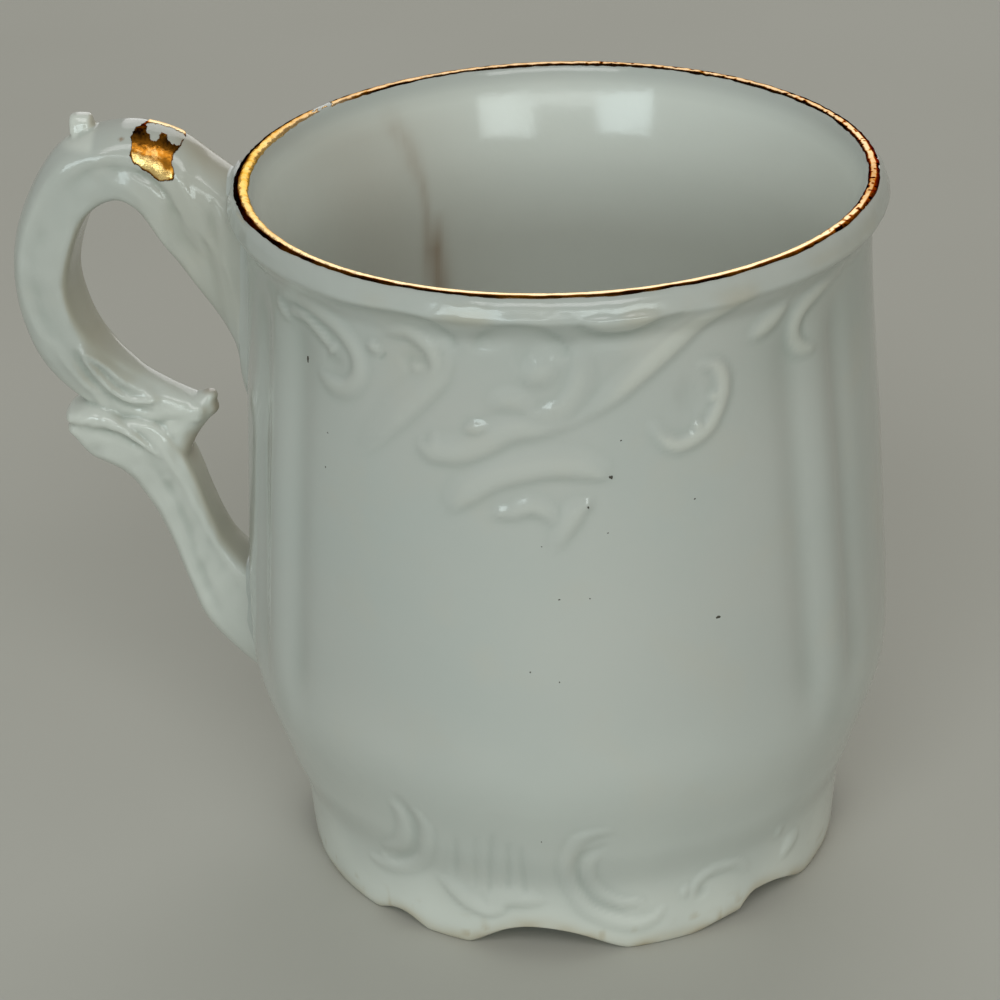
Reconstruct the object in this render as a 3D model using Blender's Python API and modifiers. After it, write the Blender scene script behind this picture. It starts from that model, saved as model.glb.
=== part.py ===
"""Relief-moulded porcelain espresso cup: turned body, luted scroll handle, fired gold.

Metres, +Z up. The foot stands on z = 0, the handle points to -X and the broad front panel faces -Y.
The origin lies under the middle of the whole outline, so the cup's own axis stands half the handle's overhang towards +X.
Angles round the cup are in degrees: 0 is the middle of the front panel, 90 is +X, -90 is the handle.
"""

import math

import bmesh
import bpy
import numpy as np

MM = 0.001

# Body, outside
CUP_HEIGHT = 65.0 * MM
FOOT_RADIUS = 24.2 * MM
FOOT_HEIGHT = 6.6 * MM
FOOT_FLARE = 0.8 * MM
WAIST_RADIUS = 26.7 * MM
WAIST_HEIGHT = 11.6 * MM
BELLY_RADIUS = 29.2 * MM
BELLY_HEIGHT = 21.5 * MM
WALL_RADIUS = 28.35 * MM
WALL_HEIGHT = 40.0 * MM
NECK_RADIUS = 27.2 * MM
LIP_RADIUS = 28.65 * MM
LIP_DEPTH = 4.7 * MM
LIP_WIDTH = 2.4 * MM
LIP_ROUND = 0.7 * MM

# Body, inside and underneath
WALL = 2.3 * MM
FLOOR = 3.6 * MM
BOWL_ROUND = 8.0 * MM
UNDERSIDE_HEIGHT = 4.0 * MM
FOOT_WIDTH = 3.2 * MM
FOOT_ROUND = 0.5 * MM

# Upright ribs between the broad panels and the side panels
RIB_ANGLE = 53.3
RIB_HALF_ANGLE = 7.1
RIB_LEAN = 3.0
RIB_HEIGHT = 0.45 * MM
GROOVE_DEPTH = 0.45 * MM
GROOVE_HALF_ANGLE = 2.6
RIB_FOOT = 19.0 * MM
RIB_FADE = 8.0 * MM

# Arches in the foot's lower edge: middle, reach to the left, reach to the right, height.
# The back half repeats the front half, turned by 180 degrees.
ARCHES = (
    (-34.5, 7.5, 7.5, 1.0 * MM),
    (-3.0, 15.0, 20.0, 2.7 * MM),
    (47.0, 6.0, 18.0, 2.2 * MM),
    (96.0, 12.0, 14.0, 2.0 * MM),
)

# Handle: how far it stands out from the wall, how far it rises over the rim, its lowest point and
# its thickness halfway round the scroll
HANDLE_REACH = 21.3 * MM
HANDLE_RISE = 3.9 * MM
HANDLE_FOOT = 13.4 * MM
HANDLE_THICKNESS = 7.4 * MM
CHANNEL = 0.16
SECTION_POWER = 2.6

# Stations along the two strands of the handle, sketched in millimetres: (out, up) of the outer edge,
# (out, up) of the inner edge, share of the handle's thickness. The sketch is fitted to the sizes above.
SCROLL_STATIONS = (
    ((-2.0, 61.8), (-2.0, 42.0), 1.16),
    ((2.9, 65.6), (2.0, 49.2), 1.05),
    ((6.4, 68.2), (6.5, 57.0), 0.94),
    ((11.2, 68.9), (10.1, 62.2), 0.92),
    ((16.6, 66.8), (13.55, 61.45), 0.95),
    ((20.3, 60.8), (15.55, 57.55), 1.00),
    ((21.3, 54.5), (15.98, 53.4), 1.00),
    ((19.5, 47.6), (14.05, 48.9), 0.92),
    ((15.4, 42.7), (10.5, 45.7), 0.68),
    ((9.8, 40.35), (7.15, 43.75), 0.57),
    ((5.5, 40.2), (4.75, 42.7), 0.49),
)
STEM_STATIONS = (
    ((16.0, 40.2), (14.7, 41.8), 0.60),
    ((14.6, 37.4), (12.0, 42.4), 0.73),
    ((11.6, 35.3), (8.0, 41.0), 0.79),
    ((9.3, 32.2), (5.2, 36.8), 0.75),
    ((7.4, 28.2), (3.4, 32.2), 0.75),
    ((6.0, 24.2), (1.9, 28.8), 0.81),
    ((4.1, 19.6), (0.0, 26.3), 0.89),
    ((-2.0, 13.4), (-2.0, 24.6), 1.00),
)

# Curled tips on the handle: sketched (out, up) of the middle, then its length, height and thickness as
# shares of the handle's thickness, and its tilt in degrees
THUMB_CURL = ((14.5, 68.5), 0.41, 0.35, 0.60, 20.0)
STEM_CURL = ((15.4, 39.8), 0.48, 0.46, 0.73, -30.0)

# Joining slip, gold and the clearance that touching pieces keep
SEAM = 0.3 * MM
SLIP_THICKNESS = 0.6 * MM
SLIP_BEAD = 0.5 * MM
GILT_THICKNESS = 0.35 * MM
RIM_GILT_WIDTH = 0.9 * MM
DAB_STATIONS = (1.55, 2.75)
DAB_HALF_ANGLE = 95.0

# Facets
SEGMENTS = 120
RIM_SEGMENTS = 72
SECTION_POINTS = 16
RINGS_PER_SPAN = 4
CORNER_STEPS = 2

LIP_TOP = CUP_HEIGHT - GILT_THICKNESS - SEAM
NECK_HEIGHT = CUP_HEIGHT - LIP_DEPTH
FLOOR_TOP = UNDERSIDE_HEIGHT + FLOOR
HANDLE_TOP = CUP_HEIGHT + HANDLE_RISE


def smooth(heights, radii, at):
    """Monotone cubic through rising knots: nothing bulges past the knots it runs between."""
    heights, radii, at = (np.asarray(values, float) for values in (heights, radii, at))
    step = np.diff(heights)
    rise = np.diff(radii) / step
    inner = np.where(rise[1:] * rise[:-1] > 0, 2 / (1 / np.where(rise[1:], rise[1:], 1)
                                                   + 1 / np.where(rise[:-1], rise[:-1], 1)), 0)
    slope = np.concatenate([rise[:1], inner, rise[-1:]])
    span = np.clip(np.searchsorted(heights, at, side="right") - 1, 0, len(step) - 1)
    t = (at - heights[span]) / step[span]
    near = (1 + 2 * t) * (1 - t) ** 2 * radii[span] + t * (1 - t) ** 2 * step[span] * slope[span]
    far = t * t * (3 - 2 * t) * radii[span + 1] - t * t * (1 - t) * step[span] * slope[span + 1]
    return near + far


def outer_radius(height):
    """Radius of the outside of the body, before its ribs, from the foot plane up to the lip."""
    heights = (0, FOOT_HEIGHT, WAIST_HEIGHT, BELLY_HEIGHT, WALL_HEIGHT, NECK_HEIGHT, LIP_TOP - LIP_ROUND)
    radii = (FOOT_RADIUS, FOOT_RADIUS + FOOT_FLARE, WAIST_RADIUS, BELLY_RADIUS, WALL_RADIUS, NECK_RADIUS,
             LIP_RADIUS)
    return smooth(heights, radii, np.clip(height, heights[0], heights[-1]))


def corner(centre, radius, start, end):
    """Points of a rounded corner in the turning plane, angles in degrees from straight out."""
    turns = np.radians(np.linspace(start, end, CORNER_STEPS + 1))
    return [(centre[0] + radius * math.cos(a), centre[1] + radius * math.sin(a)) for a in turns]


def body_profile():
    """Half section of the body: the floor's middle, up the inside, over the lip, down to the foot's middle."""
    bowl_top = FLOOR_TOP + BOWL_ROUND
    bowl_radius = float(outer_radius(bowl_top)) - WALL
    inside = np.linspace(bowl_top, NECK_HEIGHT, 6)[1:]
    outside = np.concatenate([
        np.linspace(NECK_HEIGHT, BELLY_HEIGHT, 9),
        np.linspace(BELLY_HEIGHT, FOOT_HEIGHT, 6)[1:],
        np.linspace(FOOT_HEIGHT, FOOT_ROUND, 3)[1:-1],
    ])
    flare = np.linspace(LIP_TOP - LIP_ROUND, NECK_HEIGHT, 3)[1:-1]
    lip_inner = LIP_RADIUS - LIP_WIDTH
    foot_inner = FOOT_RADIUS - FOOT_WIDTH
    points = [(0, FLOOR_TOP)]
    points += corner((bowl_radius - BOWL_ROUND, bowl_top), BOWL_ROUND, -90, 0)
    points += [(float(outer_radius(z)) - WALL, z) for z in inside]
    points += corner((lip_inner + LIP_ROUND, LIP_TOP - LIP_ROUND), LIP_ROUND, 180, 90)
    points += corner((LIP_RADIUS - LIP_ROUND, LIP_TOP - LIP_ROUND), LIP_ROUND, 90, 0)
    points += [(float(outer_radius(z)), z) for z in (*flare, *outside)]
    points += corner((FOOT_RADIUS - FOOT_ROUND, FOOT_ROUND), FOOT_ROUND, 0, -90)
    points += corner((foot_inner + FOOT_ROUND, FOOT_ROUND), FOOT_ROUND, -90, -180)
    points += [(foot_inner, UNDERSIDE_HEIGHT), (0, UNDERSIDE_HEIGHT)]
    return points


def wall_profile(clearance):
    """Half section of a solid that fills the body's outside and stands out from it by the clearance."""
    heights = np.concatenate([
        np.linspace(LIP_TOP - LIP_ROUND, NECK_HEIGHT, 4),
        np.linspace(NECK_HEIGHT, BELLY_HEIGHT, 12)[1:],
        np.linspace(BELLY_HEIGHT, 0, 10)[1:],
    ])
    rim = float(outer_radius(CUP_HEIGHT)) + clearance
    points = [(0, HANDLE_TOP), (rim, HANDLE_TOP)]
    points += [(float(outer_radius(z)) + clearance, z) for z in heights]
    points += [(0, 0)]
    return points


def turned_mesh(name, profile, segments, is_loop=False):
    """Mesh of a profile turned about Z with a Screw modifier."""
    mesh = bpy.data.meshes.new(name)
    count = len(profile)
    edges = [(i, (i + 1) % count) for i in range(count if is_loop else count - 1)]
    mesh.from_pydata([(radius, 0, height) for radius, height in profile], edges, [])
    sketch = bpy.data.objects.new(name + "_profile", mesh)
    bpy.context.scene.collection.objects.link(sketch)
    screw = sketch.modifiers.new("turn", "SCREW")
    screw.steps = segments
    screw.render_steps = segments
    screw.use_merge_vertices = True
    screw.merge_threshold = 0.00001
    solid = bpy.data.meshes.new_from_object(sketch.evaluated_get(bpy.context.evaluated_depsgraph_get()))
    solid.name = name
    bpy.data.objects.remove(sketch)
    bpy.data.meshes.remove(mesh)
    return solid


def rib_relief(angle, height):
    """How far the wall stands out for the ribs, sinking into a groove along both sides of each."""
    from_panel = np.abs((angle + 90) % 180 - 90)
    lean = RIB_LEAN * (WALL_HEIGHT - height) / (NECK_HEIGHT - BELLY_HEIGHT)
    across = np.abs(from_panel - RIB_ANGLE - lean)
    crown = np.cos(np.clip(across / RIB_HALF_ANGLE, 0, 1) * math.pi / 2) ** 2
    groove = np.exp(-((across - RIB_HALF_ANGLE) / GROOVE_HALF_ANGLE) ** 2)
    rising = np.clip((height - RIB_FOOT) / RIB_FADE, 0, 1)
    falling = np.clip((NECK_HEIGHT - height) / LIP_DEPTH, 0, 1)
    return (RIB_HEIGHT * crown - GROOVE_DEPTH * groove) * rising * falling


def arch_lift(angle):
    """How far the arches lift the foot's lower edge; nothing on the lobes between them."""
    lift = np.zeros_like(angle)
    for middle, left, right, height in ARCHES:
        for half_turn in (0, 180):
            away = (angle - middle - half_turn + 180) % 360 - 180
            share = np.abs(away) / np.where(away < 0, left, right)
            lift = np.maximum(lift, height * np.clip(1 - share ** 2, 0, 1) ** 1.5)
    return lift


def shape_wall(mesh, clearance=0.0, has_foot=False):
    """Press the ribs into a turned wall and, on the body itself, cut the foot's edge into arches."""
    points = np.empty(len(mesh.vertices) * 3)
    mesh.vertices.foreach_get("co", points)
    points = points.reshape(-1, 3)
    radius = np.hypot(points[:, 0], points[:, 1])
    height = points[:, 2].copy()
    angle = np.degrees(np.arctan2(points[:, 0], -points[:, 1]))
    is_outside = radius > outer_radius(height) + clearance - WALL / 4
    grown = radius + np.where(is_outside, rib_relief(angle, height), 0)
    points[:, :2] *= (grown / np.maximum(radius, MM))[:, None]
    if has_foot:
        is_foot = (height < UNDERSIDE_HEIGHT) & (radius > FOOT_RADIUS - FOOT_WIDTH - SEAM)
        fade = np.clip(1 - height / UNDERSIDE_HEIGHT, 0, 1)
        points[:, 2] += np.where(is_foot, arch_lift(angle) * fade, 0)
    mesh.vertices.foreach_set("co", points.ravel())
    mesh.update()


def fitted(out, up):
    """A sketched point of the handle in the turning plane: (distance from the axis, height)."""
    stations = SCROLL_STATIONS + STEM_STATIONS
    ups = [edge[1] for station in stations for edge in station[:2]]
    reach = max(station[0][0] for station in stations)
    share = (up - min(ups)) / (max(ups) - min(ups))
    height = HANDLE_FOOT + share * (HANDLE_TOP - HANDLE_FOOT)
    wall = float(outer_radius(np.clip(height, BELLY_HEIGHT, NECK_HEIGHT)))
    return wall + out * HANDLE_REACH / reach, height


def strand_line(stations):
    """Rows of (outer edge x, z, inner edge x, z, half thickness) along a strand, two per station."""
    half = HANDLE_THICKNESS / 2
    return np.array([(*fitted(*outer), *fitted(*inner), half * share) for outer, inner, share in stations])


def along(rows, place):
    """A Catmull-Rom curve through the rows, read at a place counted in stations."""
    span = int(min(max(math.floor(place), 0), len(rows) - 2))
    t = place - span
    before, start, end, after = (rows[min(max(span + i, 0), len(rows) - 1)] for i in (-1, 0, 1, 2))
    return 0.5 * (2 * start + (end - before) * t + (2 * before - 5 * start + 4 * end - after) * t ** 2
                  + (3 * start - before - 3 * end + after) * t ** 3)


def section_point(row, turn, grow=0.0):
    """A point on a strand's rounded section; turn is in degrees from its outer edge towards +Y."""
    outer, inner = row[:2], row[2:4]
    middle = (outer + inner) / 2
    half_width = np.linalg.norm(outer - inner) / 2
    across = (outer - inner) / (2 * half_width)
    cosine, sine = math.cos(math.radians(turn)), math.sin(math.radians(turn))
    u = math.copysign(abs(cosine) ** (2 / SECTION_POWER), cosine)
    v = math.copysign(abs(sine) ** (2 / SECTION_POWER), sine)
    dished = 1 - CHANNEL * math.exp(-(u / 0.45) ** 2)
    x, z = middle + across * (half_width + grow) * u
    return (-x, (row[4] + grow) * v * dished, z)


def lofted_mesh(name, rings):
    """Closed mesh over rings of equal count, with a flat cap at both ends."""
    count = len(rings[0])
    mesh = bpy.data.meshes.new(name)
    faces = [tuple(reversed(range(count)))]
    for k in range(len(rings) - 1):
        for j in range(count):
            a, b = k * count + j, k * count + (j + 1) % count
            faces.append((a, b, b + count, a + count))
    faces.append(tuple(range((len(rings) - 1) * count, len(rings) * count)))
    mesh.from_pydata([point for ring in rings for point in ring], [], faces)
    work = bmesh.new()
    work.from_mesh(mesh)
    bmesh.ops.recalc_face_normals(work, faces=work.faces)
    work.to_mesh(mesh)
    work.free()
    return mesh


def strand_mesh(name, stations, last=None, grow=0.0, rounded=()):
    """Loft of a strand from its first station to the last, with a dome on the ends named in rounded."""
    rows = strand_line(stations)
    last = len(rows) - 1 if last is None else last
    places = np.linspace(0, last, RINGS_PER_SPAN * math.ceil(last) + 1)
    rows_at = [along(rows, place) for place in places]
    if "end" in rounded:
        rows_at += dome(rows_at[-2], rows_at[-1])
    if "start" in rounded:
        rows_at = dome(rows_at[1], rows_at[0])[::-1] + rows_at
    turns = np.arange(SECTION_POINTS) * 360 / SECTION_POINTS
    return lofted_mesh(name, [[section_point(row, turn, grow) for turn in turns] for row in rows_at])


def dome(before, last):
    """Shrinking rows that round off a strand past its last row."""
    half_width = np.linalg.norm(last[:2] - last[2:4]) / 2
    middle = (last[:2] + last[2:4]) / 2
    ahead = middle - (before[:2] + before[2:4]) / 2
    ahead /= np.linalg.norm(ahead)
    rows = []
    for turn in np.radians((30, 55, 75)):
        shift = ahead * half_width * math.sin(turn)
        shrink = math.cos(turn)
        outer = middle + shift + (last[:2] - middle) * shrink
        inner = middle + shift + (last[2:4] - middle) * shrink
        rows.append(np.array([*outer, *inner, last[4] * shrink]))
    return rows


def dab_mesh(name):
    """Thin saddle of gold over the top of the scroll: a loft of crescents a seam off the porcelain."""
    rows = strand_line(SCROLL_STATIONS)
    turns = np.linspace(-DAB_HALF_ANGLE, DAB_HALF_ANGLE, 9)
    rings = []
    for place in np.linspace(*DAB_STATIONS, 6):
        row = along(rows, place)
        top = [section_point(row, turn, SEAM + GILT_THICKNESS) for turn in turns]
        under = [section_point(row, turn, SEAM) for turn in turns[::-1]]
        rings.append(top + under)
    return lofted_mesh(name, rings)


def rim_gilt_profile():
    """Section of the gold line: flat below, rounded above, centred on the lip."""
    middle = LIP_RADIUS - LIP_WIDTH / 2
    half = RIM_GILT_WIDTH / 2
    base = CUP_HEIGHT - GILT_THICKNESS
    return [(middle - half, base), (middle - half / 2, CUP_HEIGHT), (middle + half / 2, CUP_HEIGHT),
            (middle + half, base)]


def collection(name):
    """A new collection in the scene."""
    group = bpy.data.collections.new(name)
    bpy.context.scene.collection.children.link(group)
    return group


def finish(name, colour, roughness, metallic):
    """A Principled material."""
    material = bpy.data.materials.new(name)
    material.use_nodes = True
    shader = material.node_tree.nodes["Principled BSDF"]
    shader.inputs["Base Color"].default_value = (*colour, 1)
    shader.inputs["Roughness"].default_value = roughness
    shader.inputs["Metallic"].default_value = metallic
    return material


def add_part(name, mesh, group, axis, material):
    """A shaded sub-part standing on the cup's axis."""
    mesh.shade_smooth()
    mesh.set_sharp_from_angle(angle=math.radians(40))
    part = bpy.data.objects.new(name, mesh)
    part.data.materials.append(material)
    part.parent = axis
    group.objects.link(part)
    return part


def add_cutter(name, mesh, group, axis):
    """A hidden helper solid for a Boolean."""
    cutter = bpy.data.objects.new(name, mesh)
    cutter.parent = axis
    cutter.hide_render = True
    cutter.display_type = "WIRE"
    group.objects.link(cutter)
    return cutter


def combine(part, helper, operation):
    """Join, cut or keep the common part with a helper solid."""
    boolean = part.modifiers.new(helper.name, "BOOLEAN")
    boolean.operation = operation
    boolean.solver = "EXACT"
    boolean.object = helper


def curl_mesh(name, curl):
    """A rounded leaf tip: a sphere stretched, tilted in the handle's plane and set in place."""
    (out, up), length, height_share, thickness, tilt = curl
    distance, height = fitted(out, up)
    work = bmesh.new()
    bmesh.ops.create_uvsphere(work, u_segments=12, v_segments=8, radius=HANDLE_THICKNESS / 2)
    cosine, sine = math.cos(math.radians(tilt)), math.sin(math.radians(tilt))
    for vertex in work.verts:
        long, thick, tall = vertex.co.x * length, vertex.co.y * thickness, vertex.co.z * height_share
        vertex.co = (-distance + long * cosine - tall * sine, thick, height + long * sine + tall * cosine)
    mesh = bpy.data.meshes.new(name)
    work.to_mesh(mesh)
    work.free()
    return mesh


def build():
    """Model the cup: body, handle, the slip that joins them and the gold."""
    for item in list(bpy.data.objects):
        bpy.data.objects.remove(item)
    cup = collection("espresso_cup")
    helpers = collection("cutters")
    axis = bpy.data.objects.new("cup_axis", None)
    reach = max(fitted(*outer)[0] for outer, inner, share in SCROLL_STATIONS)
    axis.location = ((reach - BELLY_RADIUS) / 2, 0, 0)
    cup.objects.link(axis)
    glaze = finish("glazed_porcelain", (0.56, 0.58, 0.54), 0.12, 0.0)
    gold = finish("fired_gold", (0.62, 0.42, 0.16), 0.3, 1.0)

    body = turned_mesh("cup_body", body_profile(), SEGMENTS)
    shape_wall(body, has_foot=True)
    add_part("cup_body", body, cup, axis, glaze)

    walls = {}
    for label, clearance in (("wall_seam", SEAM), ("slip_face", SEAM + SLIP_THICKNESS),
                             ("handle_face", 2 * SEAM + SLIP_THICKNESS)):
        mesh = turned_mesh(label, wall_profile(clearance), SEGMENTS)
        shape_wall(mesh, clearance)
        walls[label] = add_cutter(label, mesh, helpers, axis)

    scroll = strand_mesh("handle", SCROLL_STATIONS, rounded=("end",))
    handle = add_part("handle", scroll, cup, axis, glaze)
    stem = strand_mesh("stem", STEM_STATIONS, rounded=("start",))
    combine(handle, add_cutter("stem", stem, helpers, axis), "UNION")
    for label, curl in (("thumb_curl", THUMB_CURL), ("stem_curl", STEM_CURL)):
        combine(handle, add_cutter(label, curl_mesh(label, curl), helpers, axis), "UNION")
    combine(handle, walls["handle_face"], "DIFFERENCE")

    for label, stations in (("upper_luting_slip", SCROLL_STATIONS), ("lower_luting_slip", STEM_STATIONS[::-1])):
        slip = add_part(label, strand_mesh(label, stations, last=1, grow=SLIP_BEAD), cup, axis, glaze)
        combine(slip, walls["slip_face"], "INTERSECT")
        combine(slip, walls["wall_seam"], "DIFFERENCE")

    add_part("rim_gilding", turned_mesh("rim_gilding", rim_gilt_profile(), RIM_SEGMENTS, is_loop=True), cup,
             axis, gold)
    add_part("handle_gilding", dab_mesh("handle_gilding"), cup, axis, gold)


build()
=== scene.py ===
"""Dressed model of a relief-moulded porcelain espresso cup in a plain studio.

Shapes are worked out in millimetres on the cup's own axis and set into the meshes in metres, in the frame of the
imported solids. Angles round the cup are in degrees: 0 is the middle of the front panel (-Y), 90 is +X and -90 is the
handle (-X).
"""

import logging
import math
from dataclasses import dataclass, field
from enum import Enum
from typing import Any, Mapping

import bpy
import numpy as np
from mathutils import Matrix, Vector


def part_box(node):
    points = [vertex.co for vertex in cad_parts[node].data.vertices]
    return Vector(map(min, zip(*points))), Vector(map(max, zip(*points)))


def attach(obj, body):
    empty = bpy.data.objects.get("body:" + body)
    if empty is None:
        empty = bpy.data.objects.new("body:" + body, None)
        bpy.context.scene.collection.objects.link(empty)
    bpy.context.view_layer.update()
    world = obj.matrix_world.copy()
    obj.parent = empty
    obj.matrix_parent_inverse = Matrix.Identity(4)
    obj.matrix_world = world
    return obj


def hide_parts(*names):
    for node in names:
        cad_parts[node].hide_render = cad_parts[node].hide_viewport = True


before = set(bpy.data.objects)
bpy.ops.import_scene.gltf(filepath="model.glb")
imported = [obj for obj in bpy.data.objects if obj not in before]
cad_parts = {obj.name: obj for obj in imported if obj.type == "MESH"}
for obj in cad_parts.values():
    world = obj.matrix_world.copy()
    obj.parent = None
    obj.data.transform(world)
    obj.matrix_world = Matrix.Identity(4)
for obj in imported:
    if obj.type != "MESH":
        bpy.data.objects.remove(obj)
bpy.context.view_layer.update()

LOG = logging.getLogger("espresso_cup")
MM = 0.001
BODY = "root"

# The cup's axis stands half the handle's overhang away from the middle of the whole outline
AXIS_X = (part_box("cup_body")[0].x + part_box("cup_body")[1].x) / 2 / MM

Point2 = tuple[float, float]


class Slot(Enum):
    """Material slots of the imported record."""

    PORCELAIN = "porcelain"
    GOLD = "gold"


class Side(Enum):
    """Which stretch of the body's half section a row belongs to."""

    UNDER = 0
    OUTSIDE = 1
    INSIDE = 2


# Arrays and meshes


def smooth_step(start: float, end: float, value: np.ndarray) -> np.ndarray:
    """Ease from 0 at start to 1 at end, level at both.

    Args:
        start: Value that gives 0.
        end: Value that gives 1; may be the smaller one.
        value: Where to read the step.

    Returns:
        The eased share, 3 t squared less 2 t cubed.
    """
    share = np.clip((value - start) / (end - start), 0, 1)
    return share * share * (3 - 2 * share)


def bell(value: np.ndarray, middle: Any, width: float) -> np.ndarray:
    """Gaussian bell of height 1: exp(-((value - middle) / width) squared)."""
    return np.exp(-(((value - middle) / width) ** 2))


def spline(knots: np.ndarray, places: np.ndarray) -> np.ndarray:
    """Catmull-Rom curve: the cubic through each pair of knots whose slopes point from knot to next but one.

    Args:
        knots: Rows of values to run through.
        places: Where to read the curve, counted in knots, in an array of any shape.

    Returns:
        One row per place, in the shape of places plus one axis.
    """
    last = len(knots) - 1
    span = np.clip(np.floor(places).astype(int), 0, last - 1)
    t = (places - span)[..., None]
    before, start, end, after = (knots[np.clip(span + step, 0, last)] for step in (-1, 0, 1, 2))
    return 0.5 * (
        2 * start
        + (end - before) * t
        + (2 * before - 5 * start + 4 * end - after) * t**2
        + (3 * start - before - 3 * end + after) * t**3
    )


def monotone(heights: np.ndarray, values: np.ndarray, at: np.ndarray) -> np.ndarray:
    """Monotone cubic through rising knots, with harmonic mean slopes, so nothing bulges past its knots.

    Args:
        heights: Rising knots.
        values: Value at each knot.
        at: Where to read the curve.

    Returns:
        The curve's values.
    """
    step = np.diff(heights)
    rise = np.diff(values) / step
    product = rise[1:] * rise[:-1]
    total = np.where(product > 0, rise[1:] + rise[:-1], 1)
    inner = np.where(product > 0, 2 * product / total, 0)
    slope = np.concatenate([rise[:1], inner, rise[-1:]])
    span = np.clip(np.searchsorted(heights, at, side="right") - 1, 0, len(step) - 1)
    t = (at - heights[span]) / step[span]
    near = (1 + 2 * t) * (1 - t) ** 2 * values[span] + t * (1 - t) ** 2 * step[span] * slope[span]
    far = t * t * (3 - 2 * t) * values[span + 1] - t * t * (1 - t) * step[span] * slope[span + 1]
    return near + far


def ragged(x: np.ndarray, y: np.ndarray, seed: int) -> np.ndarray:
    """Smooth lattice noise from -1 to 1: seeded values on whole numbers, eased from one to the next.

    Args:
        x: First coordinate, counted in lattice cells.
        y: Second coordinate, of the same shape.
        seed: Which lattice to read.

    Returns:
        Noise of the same shape.
    """
    cells = 128
    table = np.random.default_rng(seed).uniform(-1, 1, (cells, cells))
    column, row = np.floor(x).astype(int), np.floor(y).astype(int)
    right, up = smooth_step(0, 1, x - column), smooth_step(0, 1, y - row)
    low = table[row % cells, column % cells] * (1 - right) + table[row % cells, (column + 1) % cells] * right
    above = (row + 1) % cells
    high = table[above, column % cells] * (1 - right) + table[above, (column + 1) % cells] * right
    return low * (1 - up) + high * up


def folded(angle: np.ndarray, middle: float = 0.0) -> np.ndarray:
    """Angle from a middle, or from the point opposite where that is nearer: -90 to 90 degrees."""
    return (angle - middle + 90) % 180 - 90


def round_axis(angle: np.ndarray, radius: np.ndarray | float, height: np.ndarray | float) -> np.ndarray:
    """Points at angles in degrees, radii and heights, in mm from the cup's axis."""
    turn = np.radians(angle)
    return np.stack(np.broadcast_arrays(radius * np.sin(turn), -radius * np.cos(turn), height), -1)


def unit(vectors: np.ndarray) -> np.ndarray:
    """Vectors of length 1 in the same directions."""
    return vectors / np.linalg.norm(vectors, axis=-1, keepdims=True)


def band(value: np.ndarray, *limits: Point2) -> np.ndarray:
    """Product of eased steps, each from 0 at its first limit to 1 at its second."""
    return math.prod(smooth_step(*limit, value) for limit in limits)


def full_turn(count: int) -> np.ndarray:
    """Angles in radians, spaced evenly round a full turn."""
    return np.arange(count) * 2 * math.pi / count


def all_round(count: int) -> np.ndarray:
    """Angles in degrees, spaced evenly round the cup from its back."""
    return np.arange(count) * 360 / count - 180


def angle_at(points: np.ndarray) -> np.ndarray:
    """Angles in degrees of points in mm from the cup's axis."""
    return np.degrees(np.arctan2(points[..., 0], -points[..., 1]))


def rolled_mean(values: np.ndarray, reach: int, axis: int) -> np.ndarray:
    """Mean of each value and its neighbours within a reach, along an axis that closes on itself."""
    return sum(np.roll(values, step, axis) for step in range(-reach, reach + 1)) / (2 * reach + 1)


def grid_quads(rows: int, columns: int, is_ring: bool) -> np.ndarray:
    """Corner numbers of a grid's quads.

    Args:
        rows: Number of rows of points.
        columns: Points in a row.
        is_ring: Whether the last column joins the first.

    Returns:
        One row of four corners per quad.
    """
    row, column = np.meshgrid(np.arange(rows - 1), np.arange(columns if is_ring else columns - 1), indexing="ij")
    here, following = row * columns + column, row * columns + (column + 1) % columns
    return np.stack([here, following, following + columns, here + columns], -1).reshape(-1, 4)


def fan(pole: int, ring: np.ndarray) -> np.ndarray:
    """Triangles from a pole to a closed ring of points."""
    return np.stack([np.full_like(ring, pole), ring, np.roll(ring, -1)], -1)


def make_mesh(name: str, points: np.ndarray, *faces: np.ndarray, is_closed: bool = True) -> bpy.types.Mesh:
    """Smooth-shaded mesh in metres.

    Args:
        name: Name of the mesh.
        points: Rows of x, y, z in millimetres from the cup's axis.
        faces: Arrays of corner numbers, one array for each count of corners.
        is_closed: Whether the surface is closed and is turned to face outwards.

    Returns:
        The new mesh.
    """
    volume = sum(
        np.einsum("ij,ij->i", points[f[:, 0]], np.cross(points[f[:, k]], points[f[:, k + 1]])).sum()
        for f in faces
        for k in range(1, f.shape[1] - 1)
    )
    is_outward = volume > 0 or not is_closed
    corners = [corner for f in faces for corner in (f if is_outward else f[:, ::-1]).tolist()]
    mesh = bpy.data.meshes.new(name)
    mesh.from_pydata((points + (AXIS_X, 0, 0)) * MM, [], corners)
    mesh.shade_smooth()
    mesh.validate()
    return mesh


def tube(rings: np.ndarray, poles: np.ndarray, start: int = 0) -> tuple[np.ndarray, np.ndarray, np.ndarray]:
    """Closed surface over a stack of rings, with a fan to a pole at both ends.

    Args:
        rings: Array of rings, points and coordinates.
        poles: Point before the first ring and point past the last.
        start: Number that its first point gets.

    Returns:
        Points, quads and the fans' triangles.
    """
    count, size = rings.shape[:2]
    first, pole = start + np.arange(size), start + count * size
    caps = np.concatenate([fan(pole, first)[:, ::-1], fan(pole + 1, first + (count - 1) * size)])
    points = np.concatenate([rings.reshape(-1, 3), poles])
    return points, grid_quads(count, size, is_ring=True) + start, caps


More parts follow.
